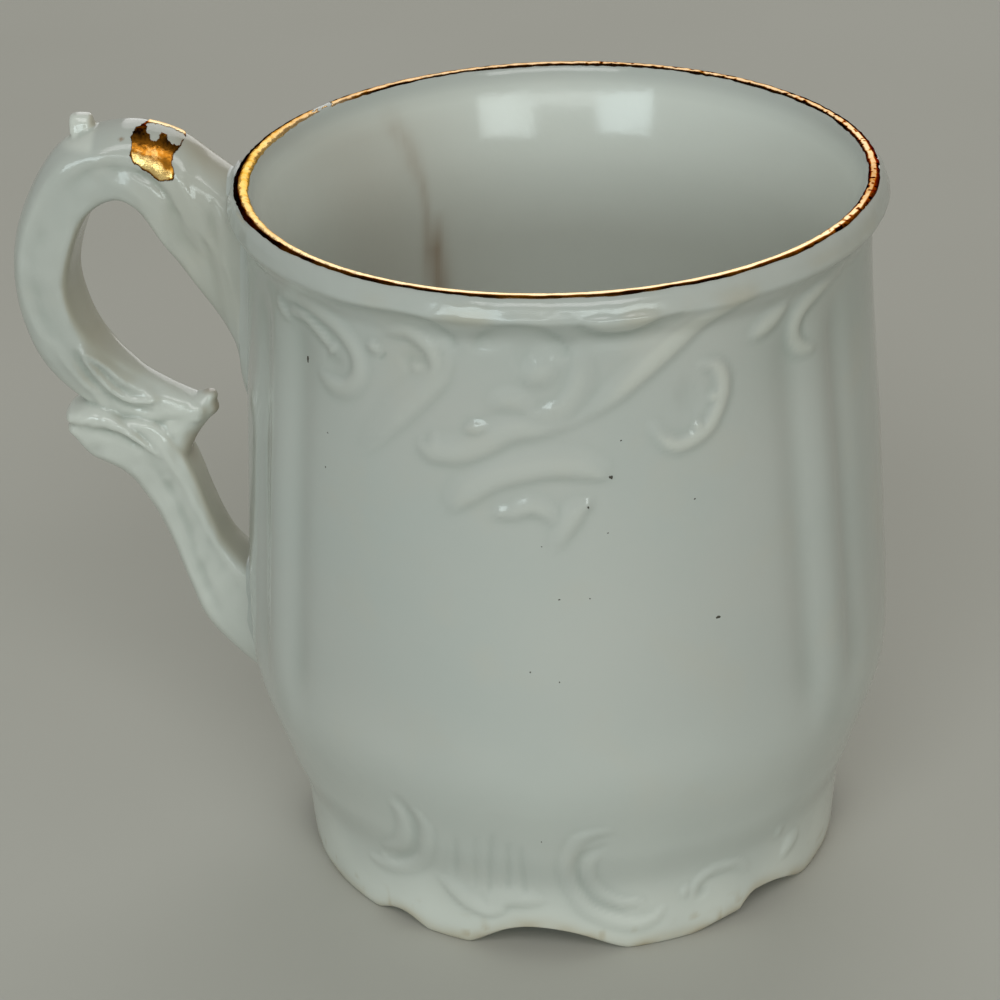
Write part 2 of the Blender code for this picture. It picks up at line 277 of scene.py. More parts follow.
def film_mesh(
    name: str, points: np.ndarray, is_kept: np.ndarray, is_ring: bool, marks: Mapping[str, np.ndarray]
) -> bpy.types.Mesh:
    """Mesh of a thin film: a grid of points of which only some cells are kept.

    Args:
        name: Name of the mesh.
        points: Grid of rows, columns and coordinates.
        is_kept: Whether each point carries film; a cell stays where all its corners do.
        is_ring: Whether the last column joins the first.
        marks: Grids of numbers to store, by the name that a material reads.

    Returns:
        The open surface, with the points that no cell uses left out.
    """
    rows, columns = points.shape[:2]
    quads = grid_quads(rows, columns, is_ring)
    quads = quads[is_kept.reshape(-1)[quads].all(1)]
    used, numbers = np.unique(quads, return_inverse=True)
    mesh = make_mesh(name, points.reshape(-1, 3)[used], numbers.reshape(-1, 4), is_closed=False)
    for mark, values in marks.items():
        add_attribute(mesh, mark, values.reshape(-1)[used])
    return mesh


def add_attribute(mesh: bpy.types.Mesh, name: str, values: np.ndarray) -> None:
    """Store one number per point under a name that a material can read."""
    mesh.attributes.new(name, "FLOAT", "POINT").data.foreach_set("value", values.astype(np.float32).ravel())


def add_object(name: str, data: bpy.types.ID) -> bpy.types.Object:
    """Object in the scene.

    Args:
        name: Name of the object.
        data: Its mesh, lamp or camera.

    Returns:
        The new object.
    """
    thing = bpy.data.objects.new(name, data)
    bpy.context.scene.collection.objects.link(thing)
    return thing


def add_piece(
    name: str, mesh: bpy.types.Mesh, material: bpy.types.Material, replaced: tuple[str, ...] = ()
) -> bpy.types.Object:
    """Object of the cup that rides on its one body.

    Args:
        name: Name of the piece.
        mesh: Its mesh, in place.
        material: Its finish.
        replaced: Solids that it stands for.

    Returns:
        The new object.
    """
    mesh.materials.append(material)
    piece = add_object(name, mesh)
    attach(piece, BODY)
    if replaced:
        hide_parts(*replaced)
    LOG.info("%s: %d points, %d faces, stands for %s", name, len(mesh.vertices), len(mesh.polygons), replaced)
    return piece


def thicken(piece: bpy.types.Object, thickness_mm: float) -> bpy.types.Object:
    """Give an open film its thickness, inwards from the face that shows.

    Args:
        piece: Film to thicken.
        thickness_mm: Its thickness.

    Returns:
        The same piece.
    """
    shell = piece.modifiers.new("film", "SOLIDIFY")
    shell.thickness = thickness_mm * MM
    shell.offset = -1
    return piece


# Finishes


def linear(colour: str) -> tuple[float, float, float, float]:
    """Linear RGBA of an sRGB hex colour.

    Args:
        colour: Six hex digits after a hash.

    Returns:
        Red, green, blue and an alpha of 1.
    """
    parts = [int(colour[k : k + 2], 16) / 255 for k in (1, 3, 5)]
    red, green, blue = (p / 12.92 if p <= 0.04045 else ((p + 0.055) / 1.055) ** 2.4 for p in parts)
    return red, green, blue, 1.0


def wire(tree: bpy.types.NodeTree, node: bpy.types.Node, inputs: Mapping[str | int, Any]) -> None:
    """Set a node's inputs.

    Args:
        tree: Node tree of the node.
        node: Node to set.
        inputs: Value, or socket to link from, for each input by name or number.
    """
    for key, value in inputs.items():
        if isinstance(value, bpy.types.NodeSocket):
            tree.links.new(value, node.inputs[key])
        else:
            node.inputs[key].default_value = value


def add_node(
    tree: bpy.types.NodeTree, kind: str, inputs: Mapping[str | int, Any] | None = None, **settings: Any
) -> bpy.types.Node:
    """Node with its settings, its typed-in values and its links.

    Args:
        tree: Node tree to add to.
        kind: Blender's name of the node type.
        inputs: Value, or socket to link from, for each input by name or number.
        settings: Properties of the node.

    Returns:
        The new node.
    """
    node = tree.nodes.new(kind)
    for key, value in settings.items():
        setattr(node, key, value)
    wire(tree, node, inputs or {})
    return node


def new_material(
    name: str, *patterns: Point2
) -> tuple[bpy.types.Material, bpy.types.NodeTree, bpy.types.Node, list[bpy.types.NodeSocket]]:
    """Node material with its Principled shader and noise patterns on Object coordinates.

    Args:
        name: Name of the material.
        patterns: (size in mm, detail) of each pattern.

    Returns:
        The material, its node tree, its shader and the patterns' sockets.
    """
    material = bpy.data.materials.new(name)
    material.use_nodes = True
    tree = material.node_tree
    place = add_node(tree, "ShaderNodeTexCoord").outputs["Object"]
    noises = [
        add_node(tree, "ShaderNodeTexNoise", {"Vector": place, "Scale": 1 / (size * MM), "Detail": detail})
        for size, detail in patterns
    ]
    return material, tree, tree.nodes["Principled BSDF"], [noise.outputs["Fac"] for noise in noises]


def paint(tree: bpy.types.NodeTree, base: str, *layers: tuple[bpy.types.NodeSocket, str]) -> bpy.types.NodeSocket:
    """Lay colours one over another.

    Args:
        tree: Node tree to add to.
        base: Hex colour underneath.
        layers: Socket of how much of a layer shows, and its hex colour, from the lowest up.

    Returns:
        Socket of the finished colour.
    """
    colour = linear(base)
    for share, tone in layers:
        mix = add_node(tree, "ShaderNodeMix", {0: share, 6: colour, 7: linear(tone)}, data_type="RGBA")
        colour = mix.outputs[2]
    return colour


@dataclass(frozen=True)
class PorcelainGlaze:
    """Hard-paste porcelain under a clear feldspar glaze, dipped and fired.

    The melt leaves a glossy skin with a faint ripple. It is cool and a little green where it pools in the relief,
    warmer where it runs thin, whiter where it lies thick down the foot, and takes up brown tea marks and pale yellow
    grime along worn edges. Some tones are also painted light and shade: the whiter tone is painted light in the bowl,
    in the middle of each panel, down the foot, on crests and on the handle's lower part and thumb rest; the green of
    the relief's hollows is painted shade under the lip at the sides; the grime's colour is painted shade on the
    handle's faces turned to the wall; the tea's colour is painted shade in the bowl and round the handle's tail.
    """

    name: str = "glazed_porcelain"
    clear: str = "#C2C2BC"
    cool: str = "#B5BEBA"
    thin: str = "#C0BFB5"
    thick: str = "#DDE1DA"
    pooled_and_shade: str = "#97A199"
    grime: str = "#B3A483"
    tea: str = "#8C6840"
    roughness: float = 0.1
    dull_roughness: float = 0.2
    ior: float = 1.52
    tone_mm: float = 21.0
    ripple_mm: float = 5.5
    ripple_depth_mm: float = 0.05
    peel_mm: float = 0.9
    peel_depth_mm: float = 0.01

    def build(self) -> bpy.types.Material:
        """Make the node material.

        Returns:
            A glaze that reads the attributes thick, crevice, grime and stain where a piece has them.
        """
        material, tree, shader, (tone, streak, ripple, peel) = new_material(
            self.name, (self.tone_mm, 3.0), (self.tone_mm / 3, 4.0), (self.ripple_mm, 1.0), (self.peel_mm, 2.0)
        )
        thin, gloss = (
            add_node(tree, "ShaderNodeMapRange", {"Value": streak, "From Max": 0.8, **limits}).outputs["Result"]
            for limits in (
                {"From Min": 0.55, "To Max": 0.5},
                {"From Min": 0.35, "To Min": self.roughness, "To Max": self.dull_roughness},
            )
        )
        thick, crevice, grime, stain = (
            add_node(tree, "ShaderNodeAttribute", attribute_name=mark).outputs["Fac"]
            for mark in ("thick", "crevice", "grime", "stain")
        )
        colour = paint(
            tree, self.clear, (tone, self.cool), (thin, self.thin), (thick, self.thick), (crevice, self.pooled_and_shade),
            (grime, self.grime), (stain, self.tea),
        )
        skin = {}
        for height, depth_mm in ((ripple, self.ripple_depth_mm), (peel, self.peel_depth_mm)):
            bump = {"Height": height, "Distance": depth_mm * MM, "Strength": 1.0, **skin}
            skin = {"Normal": add_node(tree, "ShaderNodeBump", bump).outputs["Normal"]}
        wire(tree, shader, {"Base Color": colour, "Roughness": gloss, "IOR": self.ior, **skin})
        return material


@dataclass(frozen=True)
class FiredGold:
    """Liquid bright gold, brushed on over the glaze and fired.

    A film a few thousandths of a millimetre thick: bright yellow metal where it is thick, with the brush's ridges in
    it, amber where it is thin and black-brown where it burnt. Its pale tone is a painted highlight, and its black-brown
    also paints the dark reflection along the edges of the rim's line.
    """

    name: str = "fired_gold"
    bright: str = "#F2CE88"
    deep: str = "#DDAA54"
    # Painted highlight: the washed-out shine of the gold where it faces the light
    pale: str = "#F8E4C4"
    amber: str = "#A0661C"
    burnt: str = "#2A190B"
    roughness: float = 0.2
    burnt_roughness: float = 0.34
    brush_mm: float = 0.55
    brush_depth_mm: float = 0.05
    patch_mm: float = 2.6

    def build(self) -> bpy.types.Material:
        """Make the node material.

        Returns:
            A metal that reads the attributes pale and burnt where a piece has them.
        """
        material, tree, shader, (patch, brush) = new_material(self.name, (self.patch_mm, 4.0), (self.brush_mm, 3.0))
        pale, burnt = (
            add_node(tree, "ShaderNodeAttribute", attribute_name=mark).outputs["Fac"] for mark in ("pale", "burnt")
        )
        mottled, scorched, black, gloss = (
            add_node(tree, "ShaderNodeMapRange", limits).outputs["Result"]
            for limits in (
                {"Value": patch, "From Min": 0.46, "From Max": 0.7},
                {"Value": burnt, "From Min": 0.0, "From Max": 0.5},
                {"Value": burnt, "From Min": 0.5, "From Max": 1.0},
                {"Value": patch, "To Min": self.roughness, "To Max": self.burnt_roughness},
            )
        )
        colour = paint(
            tree, self.bright, (mottled, self.deep), (pale, self.pale), (scorched, self.amber), (black, self.burnt)
        )
        ridges = {"Height": brush, "Distance": self.brush_depth_mm * MM, "Strength": 1.0}
        wire(tree, shader, {
            "Metallic": 1.0,
            "Base Color": colour,
            "Specular Tint": colour,
            "Roughness": gloss,
            "Normal": add_node(tree, "ShaderNodeBump", ridges).outputs["Normal"],
        })
        return material


@dataclass(frozen=True)
class IronSpot:
    """Iron grit that melted into the glaze: dark brown beads with a paler halo, glossy as the glaze over them."""

    name: str = "iron_spot"
    core: str = "#2A2723"
    halo: str = "#5D5A50"
    roughness: float = 0.25
    ior: float = 1.5
    grain_mm: float = 0.2

    def build(self) -> bpy.types.Material:
        """Make the node material.

        Returns:
            A dark glossy material with a fine mottle.
        """
        material, tree, shader, (grain,) = new_material(self.name, (self.grain_mm, 2.0))
        colour = paint(tree, self.core, (grain, self.halo))
        wire(tree, shader, {"Base Color": colour, "Roughness": self.roughness, "IOR": self.ior})
        return material


@dataclass(frozen=True)
class PaleTable:
    """Matt off-white table cover: one even tone with the faintest cloudiness."""

    name: str = "pale_table"
    light: str = "#C3C2BB"
    dark: str = "#BDBCB4"
    roughness: float = 0.9
    cloud_mm: float = 60.0

    def build(self) -> bpy.types.Material:
        """Make the node material.

        Returns:
            A matt material.
        """
        material, tree, shader, (cloud,) = new_material(self.name, (self.cloud_mm, 2.0))
        wire(tree, shader, {"Base Color": paint(tree, self.light, (cloud, self.dark)), "Roughness": self.roughness})
        return material


# Relief


@dataclass(frozen=True)
class Stroke:
    """One modelled stroke of the relief: a rounded ridge, or a hollow where its height is negative.

    Attributes:
        path: (angle in degrees, height in mm) of points along its crest.
        height: How far it stands out, in mm.
        left: Width in mm on the left of its course, seen from outside.
        right: Width in mm on the right.
        taper: Share of its length over which each end thins out.
    """

    path: tuple[Point2, ...]
    height: float = 0.5
    left: float = 0.9
    right: float = 0.9
    taper: float = 0.25


UPPER_STROKES = (
    # Hollows under the lip's scalloped lower edge
    Stroke(((-36, 62.1), (-27, 62.4), (-20, 62.5), (-16, 62), (-13.4, 61), (-12.2, 59.8)), -0.5, 0.7, 1.6, 0.3),
    Stroke(
        ((-9.4, 59.9), (-8.2, 60.9), (-6, 61.8), (-3.6, 62.2), (0, 62.3), (3.2, 61.8), (5.6, 60.7), (7.2, 59.4)),
        -0.55, 0.7, 2.0, 0.2,
    ),
    Stroke(((8, 62.6), (11, 61.6), (14, 61.2), (17, 61.2), (20, 61.6), (23, 62.3), (26, 62.8)), -0.4, 0.7, 1.5, 0.25),
    Stroke(((46, 62.3), (60, 61.9), (75, 61.8), (90, 61.8), (105, 61.8), (122, 62)), -0.3, 0.8, 1.8, 0.2),
    Stroke(((9.5, 62.9), (13, 62.3), (17, 62.3), (21.5, 62.9)), 0.5, 1.1, 0.9, 0.3),
    # Hook at the left: outer and inner ridge, bulb, the leaf beside the rib
    Stroke(
        ((-54, 60.2), (-46, 60.6), (-40, 60.1), (-35.5, 59.2), (-32.3, 57.6), (-32, 55.9), (-34.3, 54.6), (-38, 54.3),
         (-41.5, 54.9)),
        0.45, 1.2, 0.8, 0.15,
    ),
    Stroke(((-50, 59), (-45, 59.2), (-40.5, 58.3), (-37.6, 57.3)), 0.5, 0.8, 0.6, 0.3),
    Stroke(((-38.2, 57.6), (-37, 57.1)), 0.5, 1.0, 0.9, 0.5),
    Stroke(((-54.5, 59.5), (-49.7, 58.2)), 0.4, 0.6, 0.6, 0.4),
    # Second scroll with its long tail, and the little leaf before it
    Stroke(((-26, 60.3), (-21, 60.6), (-17.4, 59.6), (-16.2, 58.1), (-17.4, 56.8)), 0.48, 0.9, 0.7, 0.3),
    Stroke(((-20, 58.1), (-19.5, 57.2)), 0.35, 0.7, 0.7, 0.5),
    Stroke(
        ((-13.8, 59.2), (-14.6, 57.4), (-17, 55.8), (-21, 53.8), (-25, 51.8), (-30.4, 49.2)), 0.34, 0.7, 2.3, 0.3
    ),
    Stroke(((-29.6, 58.9), (-26.8, 58.4)), 0.45, 0.7, 0.6, 0.5),
    Stroke(((-26.6, 58.1), (-26, 57.9)), -0.3, 0.5, 0.5, 0.5),
    # Middle: bulb, the curl round it, leaf and blob below
    Stroke(((-0.8, 57.7), (2, 58), (4.6, 58.7)), 0.44, 2.2, 1.3, 0.5),
    Stroke(((8.4, 60), (8.7, 58.2), (7.6, 56.4), (5.2, 55), (2, 54.5), (-1, 54.6)), 0.36, 1.6, 1.0, 0.3),
    Stroke(((3, 54.8), (5, 55.2)), 0.52, 0.6, 0.6, 0.5),
    Stroke(((-7, 55), (-4.4, 55.6), (-1.5, 55.4), (0.6, 54.6)), 0.32, 1.4, 1.1, 0.4),
    Stroke(((-11.2, 52.9), (-9.2, 53.1), (-6.8, 53.4)), 0.5, 0.7, 0.65, 0.5),
    # Long S-ridge: from its bulb, and on up to the lip
    Stroke(
        ((-19.4, 51.2), (-18.4, 50.6), (-16.4, 50.3), (-12, 50.5), (-8, 51.3), (-3, 52.7), (2, 53.1), (9, 54)),
        0.42, 2.0, 0.85, 0.25,
    ),
    Stroke(((8, 53.9), (14, 55.5), (20, 57.7), (25, 59.5), (30, 61.3), (35, 62.5), (39, 63)), 0.46, 1.9, 0.9, 0.35),
    Stroke(((-18, 51), (-15, 50.9)), 0.34, 1.6, 1.0, 0.5),
    # C-loop at the right
    Stroke(
        ((29.5, 57.4), (32.4, 57.2), (34, 56.2), (34.2, 54.8), (33, 53.2), (31, 51.8), (28, 51), (25, 50.8),
         (22.6, 51.6), (20.4, 53)),
        0.44, 0.8, 1.0, 0.2,
    ),
    Stroke(((28.2, 51.8), (30, 52.4)), 0.4, 0.6, 0.6, 0.5),
    Stroke(((31.6, 54), (33, 54.8)), 0.4, 0.6, 0.6, 0.5),
    # Rounded head of the right rib and the hook beside it
    Stroke(((40, 58.6), (44, 59.3), (48.5, 60.6)), 0.5, 1.3, 0.9, 0.4),
    Stroke(((66, 61), (57, 60.3), (52, 59.3), (50.2, 57.8), (51.4, 56.2), (55, 55.6)), 0.5, 0.75, 1.1, 0.2),
    # Spray below the scrolls
    Stroke(
        ((-14.2, 45.6), (-11, 46.8), (-6, 48.4), (-1, 49.2), (4, 49.6), (9, 49.4), (13.4, 48.9)), 0.45, 2.2, 0.8, 0.2
    ),
    Stroke(((9.6, 49.2), (12.8, 48.9)), 0.3, 0.6, 0.5, 0.5),
    Stroke(((-6.5, 45.6), (-3, 45.8), (0, 46.3), (2.6, 45.8), (4, 44.9)), 0.38, 1.25, 0.7, 0.35),
    Stroke(((-6, 45.7), (-4, 45.8)), 0.46, 0.7, 0.6, 0.5),
    Stroke(((9.8, 46.9), (8, 45.9), (6, 44.4), (4, 42.7)), 0.4, 0.7, 1.5, 0.4),
    Stroke(((8.8, 46.5), (10, 46.6)), 0.52, 0.6, 0.6, 0.5),
    # Dished grounds inside the scrolls
    Stroke(((-3.2, 59.9), (3.2, 60.2)), -0.25, 2.0, 2.0, 0.5),
    Stroke(((-23, 58.4), (-18.6, 58.3)), -0.2, 1.2, 1.2, 0.5),
    Stroke(((25, 54.6), (30, 55)), -0.25, 2.2, 2.2, 0.5),
    Stroke(((-40, 56.2), (-35, 56.2)), -0.2, 1.1, 1.1, 0.5),
)

FOOT_STROKES = (
    # Lower edge of the gadroon fan
    Stroke(
        ((-23, 6.9), (-20.5, 5.8), (-18, 4.8), (-15, 4.2), (-12.5, 4), (-10.5, 4.4), (-9.5, 5.2), (-7.5, 5.6),
         (-4, 5.7), (-0.6, 5.9)),
        0.5, 1.6, 0.6, 0.15,
    ),
    # Grooves between the gadroons
    Stroke(((-19, 7.4), (-18, 9.4), (-16.4, 13)), -0.27, 0.65, 0.6, 0.45),
    Stroke(((-14.8, 6.6), (-13.8, 9.5), (-12.4, 13.6)), -0.18, 0.6, 0.55, 0.45),
    Stroke(((-12, 6.2), (-10.9, 9.8), (-9, 14.2)), -0.3, 0.6, 0.6, 0.45),
    Stroke(((-7.8, 6.9), (-7.2, 9.4), (-6.2, 13.4)), -0.27, 0.55, 0.55, 0.45),
    Stroke(((-4.4, 6.4), (-4.4, 9), (-4.2, 12.8)), -0.28, 0.6, 0.6, 0.45),
    # Left C-scroll: two ridges and the groove between them
    Stroke(((-29, 15.4), (-27.4, 14.2), (-28, 12), (-30, 10), (-33, 8.9), (-36.5, 8.1)), 0.45, 0.7, 0.8, 0.25),
    Stroke(
        ((-24.4, 15.6), (-22.6, 13.6), (-23.4, 11.4), (-25.4, 9.1), (-27.8, 7.8), (-31, 6.9), (-35, 6.2), (-39, 5.9),
         (-42, 6)),
        0.45, 0.8, 0.8, 0.2,
    ),
    Stroke(
        ((-27.6, 16.6), (-25.6, 15), (-25.2, 12.4), (-26.6, 10), (-29, 8.6), (-32, 7.5), (-34.5, 6.8)),
        -0.3, 0.8, 0.8, 0.2,
    ),
    Stroke(((-38, 6.6), (-35.6, 7)), 0.3, 0.6, 0.6, 0.5),
    # Right C-scroll
    Stroke(
        ((12.4, 14.8), (9, 14.6), (6.5, 13.8), (4.8, 12), (4.2, 10), (4.8, 8), (6, 6.5), (8, 5), (11, 3.9), (15, 3.1),
         (19, 2.8), (22, 3.2), (24, 4.2)),
        0.45, 0.8, 0.8, 0.15,
    ),
    Stroke(
        ((12, 13), (8, 12.2), (6.2, 11), (5.9, 9.4), (6.9, 7.5), (9, 6), (12, 5), (16.4, 4.1)), -0.3, 0.65, 0.65, 0.2
    ),
    Stroke(
        ((9.8, 11.8), (8.6, 10.4), (8.6, 8.9), (10, 7.4), (12, 6.3), (15, 5.5), (18, 5.3), (19.8, 4.6)),
        0.45, 0.6, 0.7, 0.25,
    ),
    # Leaf on the right lobe
    Stroke(((28.4, 4.7), (28.7, 6)), 0.4, 0.5, 0.5, 0.5),
    Stroke(((30.4, 4.4), (31.2, 6), (34, 6.8), (37, 6.9), (41, 6.5), (44.2, 5.2)), 0.45, 0.7, 0.7, 0.3),
    Stroke(((32, 4), (33, 5.4)), -0.25, 0.9, 0.9, 0.5),
    # Bulges at the far right
    Stroke(((54.5, 4.4), (57, 5.4), (60, 5.6)), 0.6, 1.2, 1.2, 0.5),
    Stroke(((51, 7.6), (53, 8)), 0.35, 0.9, 0.9, 0.5),
)


@dataclass(frozen=True)
class Relief:
    """Ornament pressed into the outside of the body; the back half repeats the front one, turned by half a turn.

    Attributes:
        strokes: Its strokes.
        radius: Radius in mm at which angles are counted as widths.
        samples: Points along each stroke to measure from.
        sharpness: Power at which overlapping strokes are joined; higher keeps the valleys deeper.
        depth: Share of the strokes' heights that shows through the glaze.
        breadth: How much the glaze widens them.
    """

    strokes: tuple[Stroke, ...]
    radius: float
    samples: int = 64
    sharpness: float = 4.0
    depth: float = 0.6
    breadth: float = 1.25

    def stroke_share(self, stroke: Stroke, angle: np.ndarray, height: np.ndarray) -> tuple[np.ndarray, np.ndarray]:
        """Cross section of a stroke: (1 - d squared) squared, d the distance from its crest over its width there.

        Args:
            stroke: Stroke to measure from.
            angle: Angles in degrees, flat array.
            height: Heights in mm, flat array.

        Returns:
            Which points the stroke touches, and its share of its full height at those.
        """
        path = np.array(stroke.path, float)
        middle = path[:, 0].mean()
        course = spline(path, np.linspace(0, len(path) - 1, self.samples))
        course[:, 0] = np.radians(course[:, 0] - middle) * self.radius
        offset = np.radians(folded(angle, middle)) * self.radius
        reach = max(stroke.left, stroke.right) * self.breadth
        low, high = course.min(0) - reach, course.max(0) + reach
        near = np.flatnonzero((offset > low[0]) & (offset < high[0]) & (height > low[1]) & (height < high[1]))
        away = np.stack([offset[near], height[near]], -1)[:, None, :] - course[None]
        square = (away**2).sum(-1)
        nearest = square.argmin(1)
        along = np.gradient(course, axis=0)[nearest]
        gap = np.take_along_axis(away, nearest[:, None, None], 1)[:, 0]
        is_left = along[:, 0] * gap[:, 1] - along[:, 1] * gap[:, 0] > 0
        share = nearest / (self.samples - 1)
        ends = np.sqrt(np.clip(np.minimum(share, 1 - share) / stroke.taper, 0.02, 1))
        width = np.where(is_left, stroke.left, stroke.right) * (0.35 + 0.65 * ends) * self.breadth
        distance = np.sqrt(square[np.arange(len(near)), nearest]) / width
        return near, ends * np.clip(1 - distance**2, 0, 1) ** 2

    def heights(self, angle: np.ndarray, height: np.ndarray) -> np.ndarray:
        """How far the relief stands out: ridges joined as the root of summed powers, less the hollows joined so.

        Args:
            angle: Angles in degrees.
            height: Heights in mm, of the same shape.

        Returns:
            Heights of the relief in mm.
        """
        total = {True: np.zeros(angle.size), False: np.zeros(angle.size)}
        for stroke in self.strokes:
            near, share = self.stroke_share(stroke, angle.ravel(), height.ravel())
            total[stroke.height > 0][near] += (self.depth * abs(stroke.height) * share) ** self.sharpness
        ridges, hollows = (total[is_ridge] ** (1 / self.sharpness) for is_ridge in (True, False))
        return (ridges - hollows).reshape(angle.shape)


# Body


@dataclass
class CupBody:
    """The pressed body: foot, ribbed wall, relief and lip in one piece of clay. Sizes in mm and degrees.

    A knot of the wall is (height, radius), every other knot (radius, height). An arch is (middle, reach to the left,
    reach to the right, height), a band (lowest, highest, rows), and a layer of the lip's pits (depth, width in degrees,
    height, seed).
    """

    wall_knots: tuple[Point2, ...] = (
        (0, 24.53), (6.6, 25.08), (11.6, 26.7), (21.5, 29.2), (40, 28.35), (60.3, 27.2), (62.3, 28.2),
    )
    under_knots: tuple[Point2, ...] = (
        (6, 4), (12, 4), (17, 4), (20.3, 4), (20.9, 3.7), (21, 2.5), (21, 1), (21.14, 0.36), (21.5, 0.06), (22.7, 0),
        (23.93, 0), (24.3, 0.08), (24.49, 0.3),
    )
    lip_knots: tuple[Point2, ...] = (
        (28.2, 62.3), (28.5, 62.72), (28.63, 63.05), (28.55, 63.37), (28.44, 63.68), (28.33, 63.99), (28.18, 64.33),
        (27.9, 64.68), (27.5, 64.88), (27.05, 64.9), (26.7, 64.66), (26.42, 64.1), (26.09, 63.3),
    )
    inside_knots: tuple[Point2, ...] = (
        (26.09, 63.3), (25.64, 62), (25.22, 60.6), (24.84, 59.2), (24.5, 57.8), (24.23, 56.2), (24.1, 54),
        (24.4, 49), (25.05, 43), (25.75, 36), (26.3, 29), (26.4, 22), (25.6, 16), (24.2, 12.4), (22.2, 9.8),
        (19.4, 8.3), (15.5, 7.65), (10, 7.6), (5, 7.6),
    )
    floor_height: float = 7.6
    underside_height: float = 4.0
    lip_start: float = 62.3
    lip_end: float = 64.2
    panel_turn: float = 0.85
    rib_angle: float = 55.85
    rib_half_angle: float = 7.1
    rib_lean: float = 3.0
    rib_height: float = 0.34
    groove_depth: float = 0.32
    groove_half_angle: float = 3.6
    rib_foot: float = 19.0
    rib_fade: float = 8.0
    rib_straight: Point2 = (21.5, 40.0)
    neck: Point2 = (60.3, 4.7)
    arches: tuple[tuple[float, float, float, float], ...] = (
        (-34.5, 7.5, 7.5, 1.0), (-3.0, 15.0, 20.0, 2.7), (43.5, 13.0, 8.0, 0.7), (47.0, 6.0, 18.0, 2.2),
        (96.0, 12.0, 14.0, 2.0),
    )
    ring_inside: float = 20.5
    pits: tuple[tuple[float, float, float, int], ...] = (
        (0.026, 2.1, 0.9, 51), (0.01, 0.9, 0.4, 52), (0.05, 6.0, 2.8, 53),
    )
    pooling: float = 3.4
    pool_reach: int = 2
    columns: int = 540
    bands: tuple[tuple[float, float, int], ...] = ((0.6, 17.0, 46), (17.0, 41.0, 17), (41.0, 62.3, 64))
    lip_rows: int = 23
    inside_rows: int = 23
    stain_path: tuple[Point2, ...] = (
        (-138.0, 62.3), (-140.6, 59.7), (-142.2, 56.8), (-143.2, 54.1), (-144.3, 51.3), (-145.2, 48.6), (-146.5, 45.2),
        (-147, 42),
    )
    stain_blob: tuple[Point2, ...] = ((52, 49), (40, 43))
    stain_ends: tuple[Point2, ...] = ((64.5, 61), (37, 43))
    upper_relief: Relief = field(default_factory=lambda: Relief(UPPER_STROKES, 27.6, depth=0.66, breadth=1.17))
    foot_relief: Relief = field(default_factory=lambda: Relief(FOOT_STROKES, 25.6, depth=0.43))

    def rib_relief(self, angle: np.ndarray, height: np.ndarray) -> np.ndarray:
        """How far the ribs stand out: a squared cosine crown with a Gaussian groove along both sides.

        Args:
            angle: Angles in degrees.
            height: Heights in mm.

        Returns:
            Heights of the ribs in mm.
        """
        from_panel = np.abs(folded(angle, self.panel_turn))
        low, straight = self.rib_straight
        neck_height, lip_depth = self.neck
        lean = self.rib_lean * (straight - height) / (neck_height - low)
        across = np.abs(from_panel - self.rib_angle - lean)
        crown = np.cos(np.clip(across / self.rib_half_angle, 0, 1) * math.pi / 2) ** 2
        groove = bell(across, self.rib_half_angle, self.groove_half_angle)
        rising = smooth_step(0, 1, (height - self.rib_foot) / self.rib_fade)
        falling = smooth_step(0, 1, (neck_height - height) / lip_depth)
        return (self.rib_height * crown - self.groove_depth * groove) * rising * falling

    def ornament(self, angle: np.ndarray, height: np.ndarray) -> np.ndarray:
        """Relief of the wall, faded out over the lip.

        Args:
            angle: Angles in degrees.
            height: Heights in mm.

        Returns:
            Heights of the relief in mm.
        """
        total = self.upper_relief.heights(angle, height) + self.foot_relief.heights(angle, height)
        return total * smooth_step(self.lip_end, self.lip_start + 1, height)

    def wall_radius(self, angle: np.ndarray, height: np.ndarray) -> np.ndarray:
        """Radius of the outside of the wall: the turned profile, its ribs and its relief.

        Args:
            angle: Angles in degrees.
            height: Heights in mm.

        Returns:
            Radii in mm.
        """
        heights, radii = np.array(self.wall_knots, float).T
        turned = monotone(heights, radii, np.clip(height, heights[0], heights[-1]))
        return turned + self.rib_relief(angle, height) + self.ornament(angle, height)

    def on_wall(self, angle: np.ndarray, height: np.ndarray) -> np.ndarray:
        """Points of the wall at angles and heights, in mm from the axis."""
        return round_axis(angle, self.wall_radius(angle, height), height)

    def arch_lift(self, angle: np.ndarray) -> np.ndarray:
        """How far the arches lift the foot's lower edge: height times (1 - share squared) to the power 1.5.

        Args:
            angle: Angles in degrees.

        Returns:
            Lift in mm.
        """
        lift = np.zeros_like(angle)
        for middle, left, right, height in self.arches:
            away = folded(angle, middle)
            share = np.abs(away) / np.where(away < 0, left, right)
            lift = np.maximum(lift, height * np.clip(1 - share**2, 0, 1) ** 1.5)
        return lift

    def lip_curve(self, places: np.ndarray) -> np.ndarray:
        """Points (radius, height) over the lip, places from 0 outside to 1 inside."""
        knots = np.array(self.lip_knots, float)
        return spline(knots, places * (len(knots) - 1))

    def half_section(self) -> tuple[np.ndarray, np.ndarray]:
        """Rows of the half section, from the underside's middle round the outside and the lip to the bowl's middle.

        Returns:
            Rows of (radius, height) and the side of each.
        """
        under = np.array(self.under_knots, float)
        heights = np.concatenate([np.linspace(low, high, count)[:-1] for low, high, count in self.bands])
        outside = np.stack([np.zeros_like(heights), heights], -1)
        lip = self.lip_curve(np.linspace(0, 1, self.lip_rows))
        knots = np.array(self.inside_knots, float)
        inside = spline(knots, np.linspace(0, len(knots) - 1, self.inside_rows + 1)[1:])
        crest = int(lip[:, 1].argmax())
        sides = [Side.UNDER] * len(under) + [Side.OUTSIDE] * (len(outside) + crest)
        sides += [Side.INSIDE] * (len(lip) - crest + len(inside))
        return np.concatenate([under, outside, lip, inside]), np.array([side.value for side in sides])

